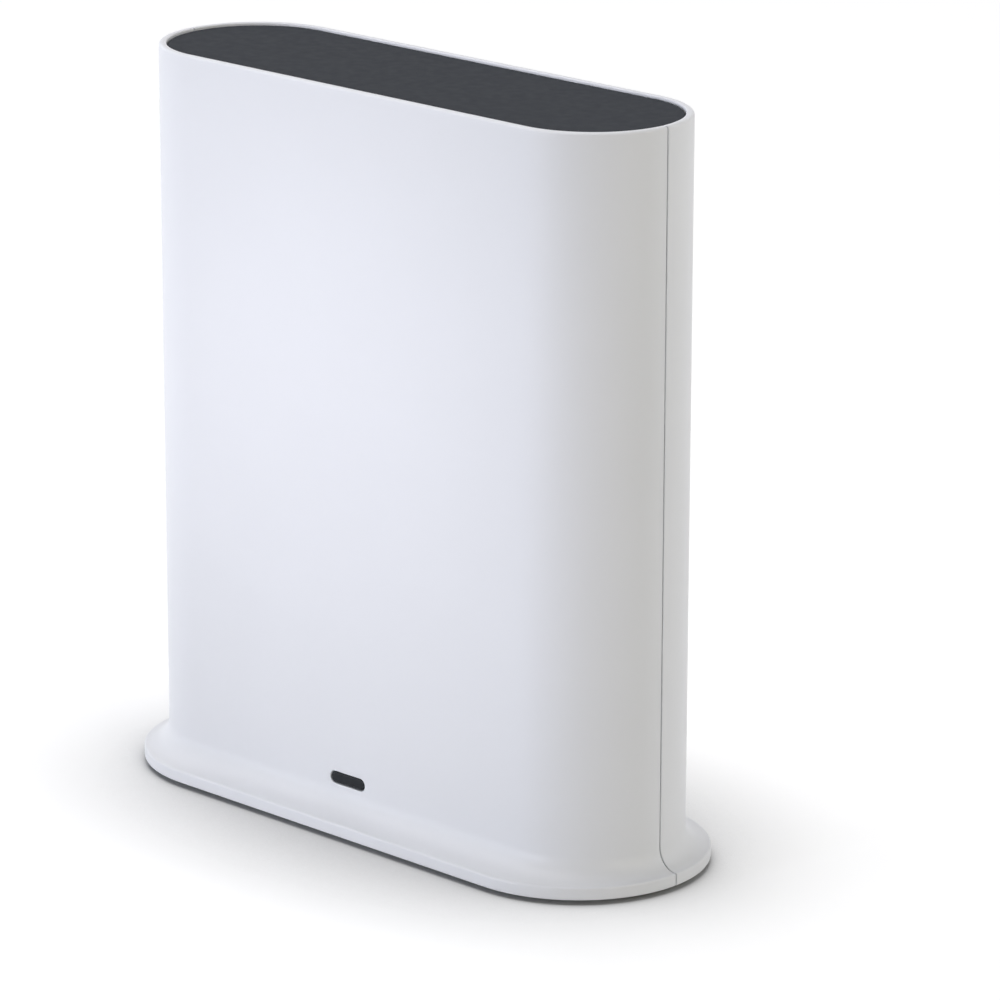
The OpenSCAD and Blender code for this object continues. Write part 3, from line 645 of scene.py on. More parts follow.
def moulded_group():
    """Skin of a moulded or cast surface: Tone drifts over centimetres, Gloss over millimetres, and Height is
    the fine grain of the mould, with Grain lumps to the metre."""
    name = "moulded skin"
    if name in bpy.data.node_groups:
        return bpy.data.node_groups[name]
    shader = group(name, {"Grain": GRAIN, "Drift": DRIFT}, ["Tone", "Gloss", "Height"])
    place = shader.place()
    tone = shader.noise(place, shader.entry["Drift"], detail=2.0)
    mottle = shader.noise(place, MOTTLE, detail=4.0)
    grain = shader.noise(place, shader.entry["Grain"], detail=2.0)
    shader.set(shader.exit["Tone"], shader.spread(tone, *SKIN_SPAN))
    shader.set(shader.exit["Gloss"], shader.spread(mottle, *SKIN_SPAN))
    shader.set(shader.exit["Height"], grain)
    return shader.tree


def drawn_group():
    """Rolled or drawn metal: streaks that are long one way and fine across, as Streak, and the tarnish that
    drifts over it, as Tarnish."""
    name = "drawn metal"
    if name in bpy.data.node_groups:
        return bpy.data.node_groups[name]
    shader = group(name, {"Across": ACROSS, "Along": ALONG}, ["Streak", "Tarnish"])
    stretch = shader.add("CombineXYZ", {"X": shader.entry["Across"], "Y": shader.entry["Along"],
                                        "Z": shader.entry["Across"]})
    scaled = shader.add("VectorMath", {0: shader.place(), 1: stretch.outputs["Vector"]},
                        operation="MULTIPLY")
    streak = shader.noise(scaled.outputs["Vector"], 1.0, detail=2.0)
    tarnish = shader.noise(shader.place(), TARNISH, detail=3.0)
    shader.set(shader.exit["Streak"], shader.spread(streak, *STREAK_SPAN))
    shader.set(shader.exit["Tarnish"], shader.spread(tarnish, *TARNISH_SPAN))
    return shader.tree


def scaled_colour(rgb, factor):
    """Opaque colour, each channel times a factor."""
    return (*(min(channel * factor, 1.0) for channel in rgb), 1.0)


def finish_tree(name, skin_group, inputs):
    """New material with a skin's group in it, as (material, shader, surface, outputs of the group)."""
    material = bpy.data.materials.new(name)
    material.use_nodes = True
    shader = Shader(material.node_tree)
    surface = next(n for n in material.node_tree.nodes if n.type == "BSDF_PRINCIPLED")
    skin = shader.add("Group", inputs, node_tree=skin_group)
    return material, shader, surface, skin.outputs


def dress(shader, surface, inputs, height, depth):
    """Sets the inputs of a surface, and gives it the relief of a height so deep."""
    bump = shader.add("Bump", {"Height": height, "Strength": 1.0, "Distance": depth})
    for socket, value in {**inputs, "Normal": bump.outputs["Normal"]}.items():
        shader.set(surface.inputs[socket], value)


def moulded(name, rgb, vary, gloss, grain, depth, drift=DRIFT, **others):
    """Moulded finish: its colour drifts by the share vary, its roughness runs over the span gloss, and its
    grain is so many lumps to the metre, depth deep."""
    material, shader, surface, skin = finish_tree(name, moulded_group(), {"Grain": grain, "Drift": drift})
    base = shader.blend(skin["Tone"], scaled_colour(rgb, 1 - vary), scaled_colour(rgb, 1 + vary))
    rough = shader.spread(skin["Gloss"], 0.0, 1.0, *gloss)
    plain = {socket.replace("_", " "): value for socket, value in others.items()}
    dress(shader, surface, {"Base Color": base, "Roughness": rough, **plain}, skin["Height"], depth)
    return material


def metal(name, rgb, gloss):
    """Metal finish: streaks set its roughness over the span gloss and a fine relief, and tarnish
    darkens it."""
    material, shader, surface, skin = finish_tree(name, drawn_group(), {"Across": ACROSS, "Along": ALONG})
    base = shader.blend(skin["Tarnish"], scaled_colour(rgb, TARNISHED), scaled_colour(rgb, 1.0))
    rough = shader.spread(skin["Streak"], 0.0, 1.0, *gloss)
    dress(shader, surface, {"Base Color": base, "Roughness": rough, "Metallic": 1.0}, skin["Streak"], RELIEF)
    return material


def finish(slot):
    """Material of a slot of the record, made once."""
    if slot not in FINISHED:
        FINISHED[slot] = FINISH_MAKERS[slot](bpy.context.scene.hub_finishes)
    return FINISHED[slot]


FINISHED = {}
FINISH_MAKERS = {
    "shell": lambda tints: moulded("satin shell", tints.shell, vary=0.012, gloss=(0.34, 0.42), grain=5200.0,
                                   depth=2 * MICRON),
    "cap": lambda tints: moulded("slate cap", tints.cap, vary=0.02, gloss=(0.62, 0.7), grain=6500.0,
                                 depth=2 * MICRON, Specular_IOR_Level=0.06),
    "button": lambda tints: moulded("slate button", tints.cap, vary=0.03, gloss=(0.36, 0.46), grain=5200.0,
                                    depth=4 * MICRON),
    "window": lambda tints: moulded("smoked window", tints.window, vary=0.04, gloss=(0.16, 0.24),
                                    grain=3000.0, depth=0.6 * MICRON, Specular_IOR_Level=0.25),
    "rubber": lambda tints: moulded("pad rubber", tints.rubber, vary=0.12, gloss=(0.78, 0.9), grain=3600.0,
                                    depth=20 * MICRON, drift=120.0),
    "black": lambda tints: moulded("filled black plastic", tints.black, vary=0.1, gloss=(0.42, 0.56),
                                   grain=6000.0, depth=8 * MICRON, drift=90.0),
    "steel": lambda tints: metal("plated steel", tints.steel, gloss=(0.2, 0.34)),
    "gold": lambda tints: metal("gold plate", tints.gold, gloss=(0.16, 0.26)),
    "board": lambda tints: moulded("solder mask", tints.board, vary=0.15, gloss=(0.25, 0.4), grain=2500.0,
                                   depth=6 * MICRON, drift=300.0),
    "chip": lambda _: moulded("moulded chip", (0.018, 0.018, 0.02), vary=0.1, gloss=(0.5, 0.65),
                              grain=7000.0, depth=6 * MICRON, drift=150.0),
    "thermal": lambda _: moulded("thermal putty", (0.26, 0.32, 0.47), vary=0.1, gloss=(0.7, 0.85),
                                 grain=2500.0, depth=30 * MICRON, drift=150.0),
    "sink": lambda _: metal("drawn aluminium", (0.8, 0.81, 0.83), gloss=(0.3, 0.45)),
    "nylon": lambda _: moulded("milky nylon", (0.82, 0.82, 0.78), vary=0.03, gloss=(0.4, 0.5), grain=4000.0,
                               depth=4 * MICRON, drift=90.0),
    "ferrite": lambda _: moulded("ferrite", (0.07, 0.07, 0.075), vary=0.15, gloss=(0.6, 0.75), grain=3500.0,
                                 depth=20 * MICRON, drift=200.0),
    "lead": lambda _: moulded("lead jacket", (0.02, 0.02, 0.022), vary=0.1, gloss=(0.35, 0.5), grain=3000.0,
                              depth=10 * MICRON, drift=120.0),
    "clear": lambda _: moulded("clear pipe", (0.9, 0.92, 0.94), vary=0.02, gloss=(0.08, 0.16), grain=2000.0,
                               depth=1 * MICRON, drift=60.0, Transmission_Weight=1.0, IOR=1.58),
    "light": lambda _: moulded("lamp block", (0.9, 0.82, 0.5), vary=0.05, gloss=(0.3, 0.4), grain=3000.0,
                               depth=4 * MICRON, drift=300.0),
}


# Housing

# Flat margins round a hole, round a wider one, round a long one, round the bay, and below the rim.
PATCH_MARGIN = 0.5 * MM
WIDE_MARGIN = 1 * MM
LONG_MARGIN = 2 * MM
BAY_MARGIN = 3 * MM
RIM_MARGIN = 10 * MM
# Steps of the walls' grids between their marks, across and up. The rear's across go from the vents outwards.
FRONT_ACROSS = [24, 32, 24]
FRONT_UP = [18, 40]
REAR_ACROSS = [2, 6]
REAR_UP = [2, 30, 2, 32, 20, 24, 2]
VENT_STEPS = 8
STRIP_STEPS = 12
# Steps of the bay's floor: over a port, between ports, below them and above them.
PORT_STEPS = 16
BETWEEN_STEPS = 2
BELOW_STEPS = 1
ABOVE_STEPS = 3
# Corner radius of square ports and margin above them.
PORT_CORNER = 0.4 * MM
PORT_MARGIN = 0.4 * MM
# Sleeve of the light pipe, and the antennas' stands, pegs and the pegs' distances from the corners.
SLEEVE_WALL = 1.2 * MM
SLEEVE_DEPTH = 4 * MM
STAND_RADIUS = 2.2 * MM
STAND_REACH = 1.5 * MM
PEG_RADIUS = 0.9 * MM
PEG_REACH = 2.7 * MM
PEG_INSET = np.array([6, 4]) * MM
# Top cap: inset of the ring along its edge, its steps, and its clips.
CROWN_INSET = 6 * MM
CAP_STEPS = (48, 96)
CLIPS = 4
CLIP_THICKNESS = 1.4 * MM
CLIP_HOOK = 0.9 * MM
WINDOW_EDGE = 0.25 * MM


def middle(box):
    """Middle of a node's box along X and Z."""
    return (box[0] + box[1])[[0, 2]] / 2


def spans(box):
    """Width and height of a node's box along X and Z."""
    return (box[1] - box[0])[[0, 2]]


def body_radius():
    """Radius of the body's round ends."""
    return INNER_R + sizes().wall


def flare_top():
    """Height where the hollow curve of the foot meets the upright wall."""
    return FOOT_LOW + sizes().flange_height + sizes().flare_height


def housing_profile(levels):
    """Section of the housing's wall as distance from the spine and height, round once from the foot's inner
    edge: out under the foot, up the flare and the wall, over the rim, down past the cap's ledge and back."""
    shell = sizes()
    outer = body_radius()
    flange_top = FOOT_LOW + shell.flange_height
    seat_r = FOOT_R - shell.flange_wall
    seat_top = FOOT_LOW + shell.base_seat
    cap_low = CAP_TOP - shell.cap_thickness
    ledge_low = cap_low - shell.ledge_thickness
    ledge_r = INNER_R - shell.ledge_width
    rim_r = outer - shell.rim
    edge, small = shell.foot_edge, shell.inner_round
    foot = [
        (seat_r, FOOT_LOW, small, small),
        (FOOT_R, FOOT_LOW, edge, edge),
        (FOOT_R, flange_top, edge, edge),
        (outer, flange_top, FOOT_R - outer - edge, shell.flare_height),
    ]
    head = [
        (outer, TOP, shell.rim_outer, shell.rim_outer),
        (rim_r, TOP, shell.rim_inner, shell.rim_inner),
        (rim_r, cap_low, small, small),
        (ledge_r, cap_low, small, small),
        (ledge_r, ledge_low, small, small),
        (INNER_R, ledge_low, small, small),
    ]
    seat = [
        (INNER_R, seat_top, flare_top() - seat_top, seat_r - INNER_R - 2 * small),
        (seat_r, seat_top, small, small),
    ]
    arcs = rounded_corners(foot + head + seat)
    low, high = len(foot), len(foot + head)
    outside = np.column_stack([np.full(len(levels), outer), levels])
    inside = np.column_stack([np.full(len(levels), INNER_R), levels[::-1]])
    profile = np.concatenate([*arcs[:low], outside, *arcs[low:high], inside, *arcs[high:]])
    apart = np.linalg.norm(profile - np.roll(profile, 1, axis=0), axis=1) > MERGE
    return profile[apart]


def spine_of(profile):
    """Half length of the straight sides for each point of the section: the body's above the flare, the
    foot's at the foot's edge, and between them in step with the distance from the spine."""
    shell = sizes()
    r, z = profile.T
    outside = np.arange(len(r)) < np.argmax(z)
    on_flare = outside & (z > FOOT_LOW + shell.flange_height - shell.foot_edge - MERGE)
    flare = np.interp(r, [body_radius(), FOOT_R], [0, 1])
    seat = np.interp(r, [INNER_R, FOOT_R - shell.flange_wall], [0, 1])
    share = np.where(on_flare, flare, seat)
    return SPINE + (FOOT_SPINE - SPINE) * np.where(z < flare_top(), share, 0)


def outward(profile):
    """Unit normals of a closed anticlockwise outline: its tangents turned back by a right angle."""
    along = unit(np.roll(profile, -1, axis=0) - np.roll(profile, 1, axis=0))
    return np.column_stack([along[:, 1], -along[:, 0]])


def half_shell(skin, seam, side, xs, levels):
    """Carries the wall's section round half of the plan. Round each end the angle runs from where
    distance times sine meets the seam up to a right angle, and between the ends x runs along the
    straight. At the seam the section shrinks along its normals by a quarter circle, so that its edge is
    round. The flat wall between the levels is left out."""
    shell = sizes()
    if shell.seam_round >= min(shell.inner_round, shell.rim_inner, shell.rim_outer, shell.foot_edge):
        raise ValueError("the seam's rounding has to stay below every rounding of the wall's section")
    profile = housing_profile(levels)
    r, z = profile.T
    spine = spine_of(profile)[:, None]
    edge = rounding(shell.seam_round)
    normal = outward(profile)
    shrunk_r = r[:, None] - normal[:, :1] * edge[:, 0]
    shrunk_z = z[:, None] - normal[:, 1:] * edge[:, 0]
    near = np.arcsin((side * seam + edge[:, 1]) / shrunk_r)
    share = np.linspace(0, 1, ARC_STEPS + 1)[1:]
    far = near[:, -1:] + (np.pi / 2 - near[:, -1:]) * share
    angle = np.hstack([near, far])
    radius = np.hstack([shrunk_r, np.repeat(r[:, None], ARC_STEPS, axis=1)])
    height = np.hstack([shrunk_z, np.repeat(z[:, None], ARC_STEPS, axis=1)])
    end_x = spine + radius * np.cos(angle)
    end_y = side * radius * np.sin(angle)
    between = spine / SPINE * xs[-2:0:-1]
    x = np.hstack([end_x, between, -end_x[:, ::-1]])
    y = np.hstack([end_y, np.broadcast_to(side * r[:, None], between.shape), end_y[:, ::-1]])
    h = np.hstack([height, np.broadcast_to(z[:, None], between.shape), height[:, ::-1]])
    next_r, next_z = np.roll(r, -1), np.roll(z, -1)
    upright = np.abs(next_r - r) < TINY
    inside = (np.minimum(z, next_z) > levels[0] - MERGE) & (np.maximum(z, next_z) < levels[-1] + MERGE)
    column = np.arange(x.shape[1] - 1)
    straight = (column >= end_x.shape[1] - 1) & (column < end_x.shape[1] + len(xs) - 2)
    skin.strip(np.stack([x, y, h], axis=-1), keep=~((upright & inside)[:, None] & straight))


def seam_strip(skin, seam):
    """Strip inside each end wall that backs the seam: a bar between two circles about the end's middle, over
    the angles within the tongue's reach of the seam."""
    shell = sizes()
    edge = shell.inner_round
    inner = INNER_R - shell.tongue_thickness
    low = flare_top() + LONG_MARGIN
    high = CAP_TOP - shell.cap_thickness - shell.ledge_thickness - LONG_MARGIN
    reach = np.linspace(seam - shell.tongue_reach, seam + shell.tongue_reach, STRIP_STEPS + 1)
    turn = np.arcsin(reach / INNER_R)
    corner_list = [(inner, low), (INNER_R, low), (INNER_R, high), (inner, high)]
    section = np.concatenate(rounded_corners([(*corner, edge, edge) for corner in corner_list]))
    for end in (-1, 1):
        x = end * (SPINE + section[:, :1] * np.cos(turn))
        y = section[:, :1] * np.sin(turn)
        z = np.broadcast_to(section[:, 1:], x.shape)
        skin.strip(np.stack([x, y, z], axis=-1))


def bored_post(root, end):
    """Stations of a post from its root to its end, with a blind pilot hole from the end."""
    fit = fittings()
    hole = end + fit.pilot_depth
    return turned([(0, root), (fit.post_radius, root), (fit.post_radius, end), (fit.shank_radius, end),
                   (fit.shank_radius, hole), (0, hole)])


def base_posts(skin, side):
    """Posts on one side for the base plate's screws: a turned form with a blind hole from below, and a
    flat rib along the line from the end's middle through the post to the wall."""
    fit = fittings()
    place = BASE_SCREWS[1, :2] - fit.head_radius
    low = BASE[1, 2]
    high = low + fit.post_height
    for end in (-1, 1):
        centre = place * (end, side)
        skin.loft(bored_post(high, low), centre, 2)
        hub = np.array([end * SPINE, 0])
        along = unit(centre - hub)
        across = np.array([-along[1], along[0]]) * fit.rib / 2
        tip = hub + along * INNER_R
        root = centre + along * fit.shank_radius
        plan = np.array([root - across, tip - across, tip + across, root + across])
        skin.bar(plan, high - fit.rib_height, high, 2)


def make_front_shell():
    """Front half of the housing, with the oblong hole of the status window, the sleeve of its light
    pipe, the stands and pegs of the antennas and the posts of the base plate."""
    shell = sizes()
    outer = body_radius()
    x, z = middle(WINDOW)
    w, h = spans(WINDOW) + 2 * holes().window_gap
    reach = (w / 2 + LONG_MARGIN, h / 2 + PATCH_MARGIN)
    xs = lines(np.array([-SPINE, x - reach[0], x + reach[0], SPINE]), FRONT_ACROSS)
    levels = lines(np.array([z - reach[1], z + reach[1], TOP - RIM_MARGIN]), FRONT_UP)
    skin = Skin()
    half_shell(skin, SEAM_FRONT, -1, xs, levels)
    wall = Plate(skin, xs, levels, 1, [-outer, -INNER_R])
    wall.form((x, z), reach, eased_run((w, h, h / 2), -outer, -INNER_R, shell.edge_round, WIDER), 0, 1)
    wall.close()
    tube = spans(PIPE) + 2 * SLEEVE_WALL
    stations = sleeve(*tube, shell.edge_round, SLEEVE_WALL, -INNER_R, SLEEVE_DEPTH - INNER_R)
    skin.loft(stations, middle(PIPE), 1, closed=True)
    stand, peg = STAND_REACH - INNER_R, PEG_REACH - INNER_R
    stepped = turned([(0, -INNER_R), (STAND_RADIUS, -INNER_R), (STAND_RADIUS, stand), (PEG_RADIUS, stand),
                      (PEG_RADIUS, peg), (0, peg)])
    for place in middle(ANTENNAS) + FOUR * (spans(ANTENNAS) / 2 - PEG_INSET):
        skin.loft(stepped, place, 1)
    base_posts(skin, -1)
    skin.piece("front_shell_skin", "housing", "shell", "front_shell")


def port_holes():
    """Holes in the bay's floor, left to right: centre, half patch, and (width, height, corner radius)."""
    cut = holes()
    gap = 2 * cut.port_gap
    level = middle(SHIELD)[1]
    half = spans(SHIELD)[1] / 2 + cut.port_gap + PORT_MARGIN
    port, jack, inlet = spans(PORT) + gap, spans(SHIELD) + gap, spans(POWER) + gap
    pin = 2 * cut.pinhole
    return [
        ((middle(PORT)[0], level), (port[0] / 2 + WIDE_MARGIN, half), (*port, 2 * PORT_CORNER)),
        ((middle(SHIELD)[0], level), (jack[0] / 2 + PATCH_MARGIN, half), (*jack, PORT_CORNER)),
        ((middle(RESET)[0], level), (cut.pinhole + PATCH_MARGIN, half), (pin, pin, cut.pinhole)),
        ((middle(POWER)[0], level), (inlet[0] / 2 + WIDE_MARGIN, half), (*inlet, PORT_CORNER)),
    ]


def floor_lines(edges, counts, ports):
    """Lines across the bay's floor: even steps between the patches, and over each patch steps in
    proportion to the points of its hole's outline, so that the faces between them don't cross."""
    steps = []
    for number, (start, end, count) in enumerate(zip(edges[:-1], edges[1:], counts)):
        if number % 2 == 0:
            steps.append(np.linspace(start, end, count, endpoint=False))
            continue
        (x, _), (half, _), size = ports[number // 2]
        side = outline(*size, count, count)[:count, 0]
        steps.append(x - half * side / side[0])
    return np.concatenate([*steps, edges[-1:]])


def bay_floor(skin, back, nx, nz):
    """Floor of the bay, as a plate with the ports' holes and so many lines across and up. Gives its
    border."""
    cut = holes()
    ports = port_holes()
    inset = 2 * cut.bay_edge
    end = cut.bay_width / 2 - 2 * inset
    edges = [x + way * half for (x, _), (half, _), _ in ports for way in (-1, 1)]
    edges = np.array([-end, *edges, end])
    counts = np.where(np.arange(len(edges) - 1) % 2, PORT_STEPS, BETWEEN_STEPS)
    counts[len(counts) // 2] += nx - counts.sum()
    (_, level), (_, half), _ = ports[0]
    rise = cut.bay_height / 2 - inset
    rows = np.array([cut.bay_level - rise, level - half, level + half, cut.bay_level + rise])
    up = lines(rows, [BELOW_STEPS, nz - BELOW_STEPS - ABOVE_STEPS, ABOVE_STEPS])
    floor = Plate(skin, floor_lines(edges, counts, ports), up, 1, [BAY_FLOOR, back])
    for place, patch, size in ports:
        floor.form(place, patch, eased_run(size, BAY_FLOOR, back, cut.port_edge, WIDER), 0, 1)
    floor.close()
    return rectangle(floor.us, floor.vs)


def port_bay(skin, wall, reach):
    """Tub of the bay: from the wall's outer face round its mouth and down to the floor, the floor as a
    plate of its own, and from the floor's back round the outside of the tub to the wall's inside."""
    cut = holes()
    outer, inner = wall.depths
    back = BAY_FLOOR - cut.panel
    centre = np.array([0.0, cut.bay_level])
    us, vs = wall.patch(centre, reach, [0, 1])
    nx, nz = len(us) - 1, len(vs) - 1
    size = (cut.bay_width, cut.bay_height, cut.bay_corner)
    w, h, r = size
    mouth = eased(size, outer, -1, cut.bay_edge, WIDER)
    foot = [(w - 2 * t, h - 2 * t, r - t, BAY_FLOOR + g) for g, t in rounding(cut.bay_edge)]
    thick = 2 * cut.panel
    outside = [(w + thick, h + thick, r + cut.panel, depth) for depth in (back, inner)]
    border = bay_floor(skin, back, nx, nz)

    def loops(stations):
        return [lifted(outline(a, b, c, nx, nz) + centre, depth, 1) for a, b, c, depth in stations]
    skin.tube([lifted(rectangle(us, vs), outer, 1), *loops(mouth + foot), lifted(border, BAY_FLOOR, 1)])
    skin.tube([lifted(border, back, 1), *loops(outside), lifted(rectangle(us, vs), inner, 1)])


def make_rear_shell():
    """Rear half of the housing: the row of vent slots, the sync button's hole with its collar inside,
    the port bay let into the wall, the strips that back the seam and the posts of the board and the
    base plate."""
    shell, cut, fit = sizes(), holes(), fittings()
    outer = body_radius()
    seam = SEAM_FRONT + shell.seam_gap
    pitch, count = cut.rear_vent_pitch, cut.rear_vents
    bay_reach = (cut.bay_width / 2 + BAY_MARGIN, cut.bay_height / 2 + BAY_MARGIN)
    edges = np.concatenate([[-SPINE, -bay_reach[0]], row(count + 1, pitch), [bay_reach[0], SPINE]])
    xs = lines(edges, REAR_ACROSS[::-1] + [VENT_STEPS] * count + REAR_ACROSS)
    sync = middle(SYNC)
    hole_r = spans(SYNC)[0] / 2 - fit.button_flange + cut.sync_gap
    collar_r = spans(SYNC)[0] / 2 + fit.collar_gap
    sync_reach = 2 * pitch
    vent_z = TOP - cut.rear_vent_drop
    vent_half = cut.rear_vent_length / 2 + LONG_MARGIN
    marks = [flare_top() + shell.edge_round, cut.bay_level - bay_reach[1], cut.bay_level + bay_reach[1],
             sync[1] - sync_reach, sync[1] + sync_reach, vent_z - vent_half, vent_z + vent_half,
             TOP - RIM_MARGIN]
    levels = lines(np.array(marks), REAR_UP)
    skin = Skin()
    half_shell(skin, seam, 1, xs, levels)
    seam_strip(skin, seam)
    wall = Plate(skin, xs, levels, 1, [outer, INNER_R])
    oblong = (cut.vent_width, cut.rear_vent_length, cut.vent_width / 2)
    slot = eased_run(oblong, outer, INNER_R, shell.edge_round, WIDER)
    for x in row(count, pitch):
        wall.form((x, vent_z), (pitch / 2, vent_half), slot, 0, 1)
    end = INNER_R - fit.collar_h
    collar = turned([(collar_r, INNER_R), (collar_r, end), (collar_r + fit.collar_t, end),
                     (collar_r + fit.collar_t, INNER_R)])
    button_hole = eased_run((2 * hole_r, 2 * hole_r, hole_r), outer, INNER_R, shell.edge_round, WIDER)
    wall.form(sync, (sync_reach, sync_reach), button_hole + collar, 0, 1)
    port_bay(skin, wall, bay_reach)
    wall.close()
    for place in middle(BOARD_SCREWS) + FOUR * (spans(BOARD_SCREWS) / 2 - fit.head_radius):
        skin.loft(bored_post(INNER_R, BOARD[1, 1]), place, 1)
    base_posts(skin, 1)
    skin.piece("rear_shell_skin", "housing", "shell", "rear_shell")


def make_top_cap():
    """Slate plate inside the rim: the plan of the body carried down a section with a rounded upper edge, and
    the clips below it, each a hooked outline carried across its width."""
    shell = sizes()
    low = CAP_TOP - shell.cap_thickness
    radius = body_radius() - shell.rim - shell.cap_gap
    crown = [(0, CAP_TOP), (radius - CROWN_INSET, CAP_TOP)]
    edge = shoulder(radius, CAP_TOP, -1, shell.cap_edge)
    lower = [(radius, low + shell.inner_round), (radius - shell.inner_round, low), (0, low)]
    skin = Skin()
    skin.loft([(2 * (SPINE + r), 2 * r, r, z) for r, z in crown + edge + lower], (0, 0), 2, *CAP_STEPS)
    leg = INNER_R - shell.ledge_width - shell.cap_gap
    back = leg - CLIP_THICKNESS
    hook = low - shell.ledge_thickness - shell.cap_gap / 2
    end = CAP[0, 2]
    section = np.array([(back, low), (back, end), (leg, end), (leg + CLIP_HOOK, hook), (leg, hook),
                        (leg, low)])
    half = shell.clip_width / 2
    for x in row(CLIPS, shell.clip_pitch):
        for side in (-1, 1):
            skin.bar(section * (side, 1), x - half, x + half, 0)
    skin.piece("top_cap_plate", "housing", "cap", "top_cap")


def make_status_window():
    """Smoked lens low on the front: an oblong bar with rounded ends and a rounded front edge."""
    w, h = spans(WINDOW)
    skin = Skin()
    lens = rounded_bar((w, h, h / 2), WINDOW[1, 1], WINDOW[0, 1], WINDOW_EDGE)
    skin.loft(lens, middle(WINDOW), 1, FINE_STEPS, FINE_STEPS)
    skin.piece("status_lens", "housing", "window", "status_window")


# Base

# Steps of the base plate's grid from its vents outwards, and from its middle to each side.
BASE_ACROSS = [4, 16, 1, 1, 12, 1]
BASE_ASIDE = [2, 8, 3, 4, 2, 8, 1]
BASE_MIDDLE = [2]
# Groove under a pad, as a share of its radius, and its depth.
GROOVE_SHARE = 0.65
GROOVE_DEPTH = 0.2 * MM
# Screws: tip and dome as shares of the radius, floor of the cross as a share of it, steps of a quarter of
# the cross, and bevel of the edges.
SCREW_TIP = 0.6
SCREW_DOME = 0.45
CROSS_FLOOR = 0.7
CROSS_STEPS = [2, 2, 3, 3]
SCREW_BEVEL = 0.05 * MM


def onto_capsule(points, spine, radius):
    """Points moved straight out from a spine along X to a given distance from it."""
    core = np.column_stack([np.clip(points[:, 0], -spine, spine), np.zeros(len(points))])
    return core + unit(points - core) * radius


def run(x, y):
    """Points along a straight line, of which one coordinate stands still, without the last."""
    return np.column_stack(np.broadcast_arrays(x, y))[:-1]


def cross_border(xs, ys, wide, notch):
    """Border of a broad cross, anticlockwise: a grid of lines without its corners, which lie beyond
    wide along X and beyond notch along Y."""
    arm, rest = xs[xs > wide - MERGE], xs[np.abs(xs) < wide + MERGE]
    step, side = ys[ys > notch - MERGE], ys[np.abs(ys) < notch + MERGE]
    half = np.concatenate([run(rest, ys[0]), run(wide, -step[::-1]), run(arm, -notch), run(xs[-1], side),
                           run(arm[::-1], notch), run(wide, step)])
    return np.concatenate([half, -half])


def make_base_plate():
    """Plate under the foot: a grid of lines in the shape of a broad cross, with vent slots, seats for
    the pads and bored bosses for the screws, and a ring of faces from the cross out to the capsule of
    its edge."""
    shell, cut, fit = sizes(), holes(), fittings()
    low, high = FOOT_LOW, FOOT_LOW + shell.base_seat
    radius = BASE[1, 1]
    spine = BASE[1, 0] - radius
    screw = BASE_SCREWS[1, :2] - fit.head_radius
    pad = PADS[1, :2] - fit.pad_radius
    seat = fit.pad_radius + fit.pad_gap
    pad_reach, boss_reach = seat + PATCH_MARGIN, fit.boss_radius + PATCH_MARGIN
    pitch, count, vent_y = cut.base_vent_pitch, cut.base_vents, cut.base_vent_y
    vent_reach = cut.base_vent_length / 2 + PATCH_MARGIN
    vent_edges = row(count + 1, pitch)
    wide = pad[0] + pad_reach + WIDE_MARGIN
    notch = vent_y + vent_reach + LONG_MARGIN
    marks_x = [*vent_edges[vent_edges > 0], pad[0] - pad_reach, pad[0] + pad_reach, wide,
               screw[0] - boss_reach, screw[0] + boss_reach, screw[0] + boss_reach + WIDE_MARGIN]
    marks_y = [vent_y - vent_reach, screw[1] - boss_reach, pad[1] - pad_reach, screw[1] + boss_reach,
               vent_y + vent_reach, notch, pad[1] + pad_reach, pad[1] + pad_reach + PATCH_MARGIN]
    xs = lines(mirrored(marks_x), BASE_ACROSS[::-1] + [VENT_STEPS] * count + BASE_ACROSS)
    ys = lines(mirrored(np.sort(marks_y)), BASE_ASIDE[::-1] + BASE_MIDDLE + BASE_ASIDE)
    skin = Skin()
    plate = Plate(skin, xs, ys, 2, [low, high])
    outer_x, outer_y = np.abs(xs[:-1] + xs[1:]) / 2 > wide, np.abs(ys[:-1] + ys[1:]) / 2 > notch
    for keep in plate.keep:
        keep[outer_x[:, None] & outer_y] = False
    oblong = (cut.vent_width, cut.base_vent_length, cut.vent_width / 2)
    slot = eased_run(oblong, low, high, shell.edge_round, WIDER)
    for x in row(count, pitch):
        for side in (-1, 1):
            plate.form((x, side * vent_y), (pitch / 2, vent_reach), slot, 0, 1)
    bore, hole = fit.head_radius + fit.head_gap, fit.shank_radius + fit.head_gap
    bearing = BASE_SCREWS[0, 2] + fit.head_height
    boss = turned([(bore + shell.edge_round, low), (bore, low + shell.edge_round), (bore, bearing),
                   (hole, bearing), (hole, BASE[1, 2]), (fit.boss_radius, BASE[1, 2]),
                   (fit.boss_radius, high)])
    pan = turned([(seat, low), (seat, low + fit.pad_sink), (0, low + fit.pad_sink)])
    for signs in FOUR:
        plate.form(screw * signs, (boss_reach, boss_reach), boss, 0, 1)
        plate.form(pad * signs, (pad_reach, pad_reach), pan, 0)
    plate.close()
    border = cross_border(xs, ys, wide, notch)
    edge = [*shoulder(radius, low, 1, shell.edge_round), (radius, high)]
    ring = [lifted(onto_capsule(border, spine, r), z, 2) for r, z in edge]
    skin.tube([lifted(border, low, 2), *ring, lifted(border, high, 2)])
    skin.piece("base_plate_skin", "housing", "shell", "base_plate")


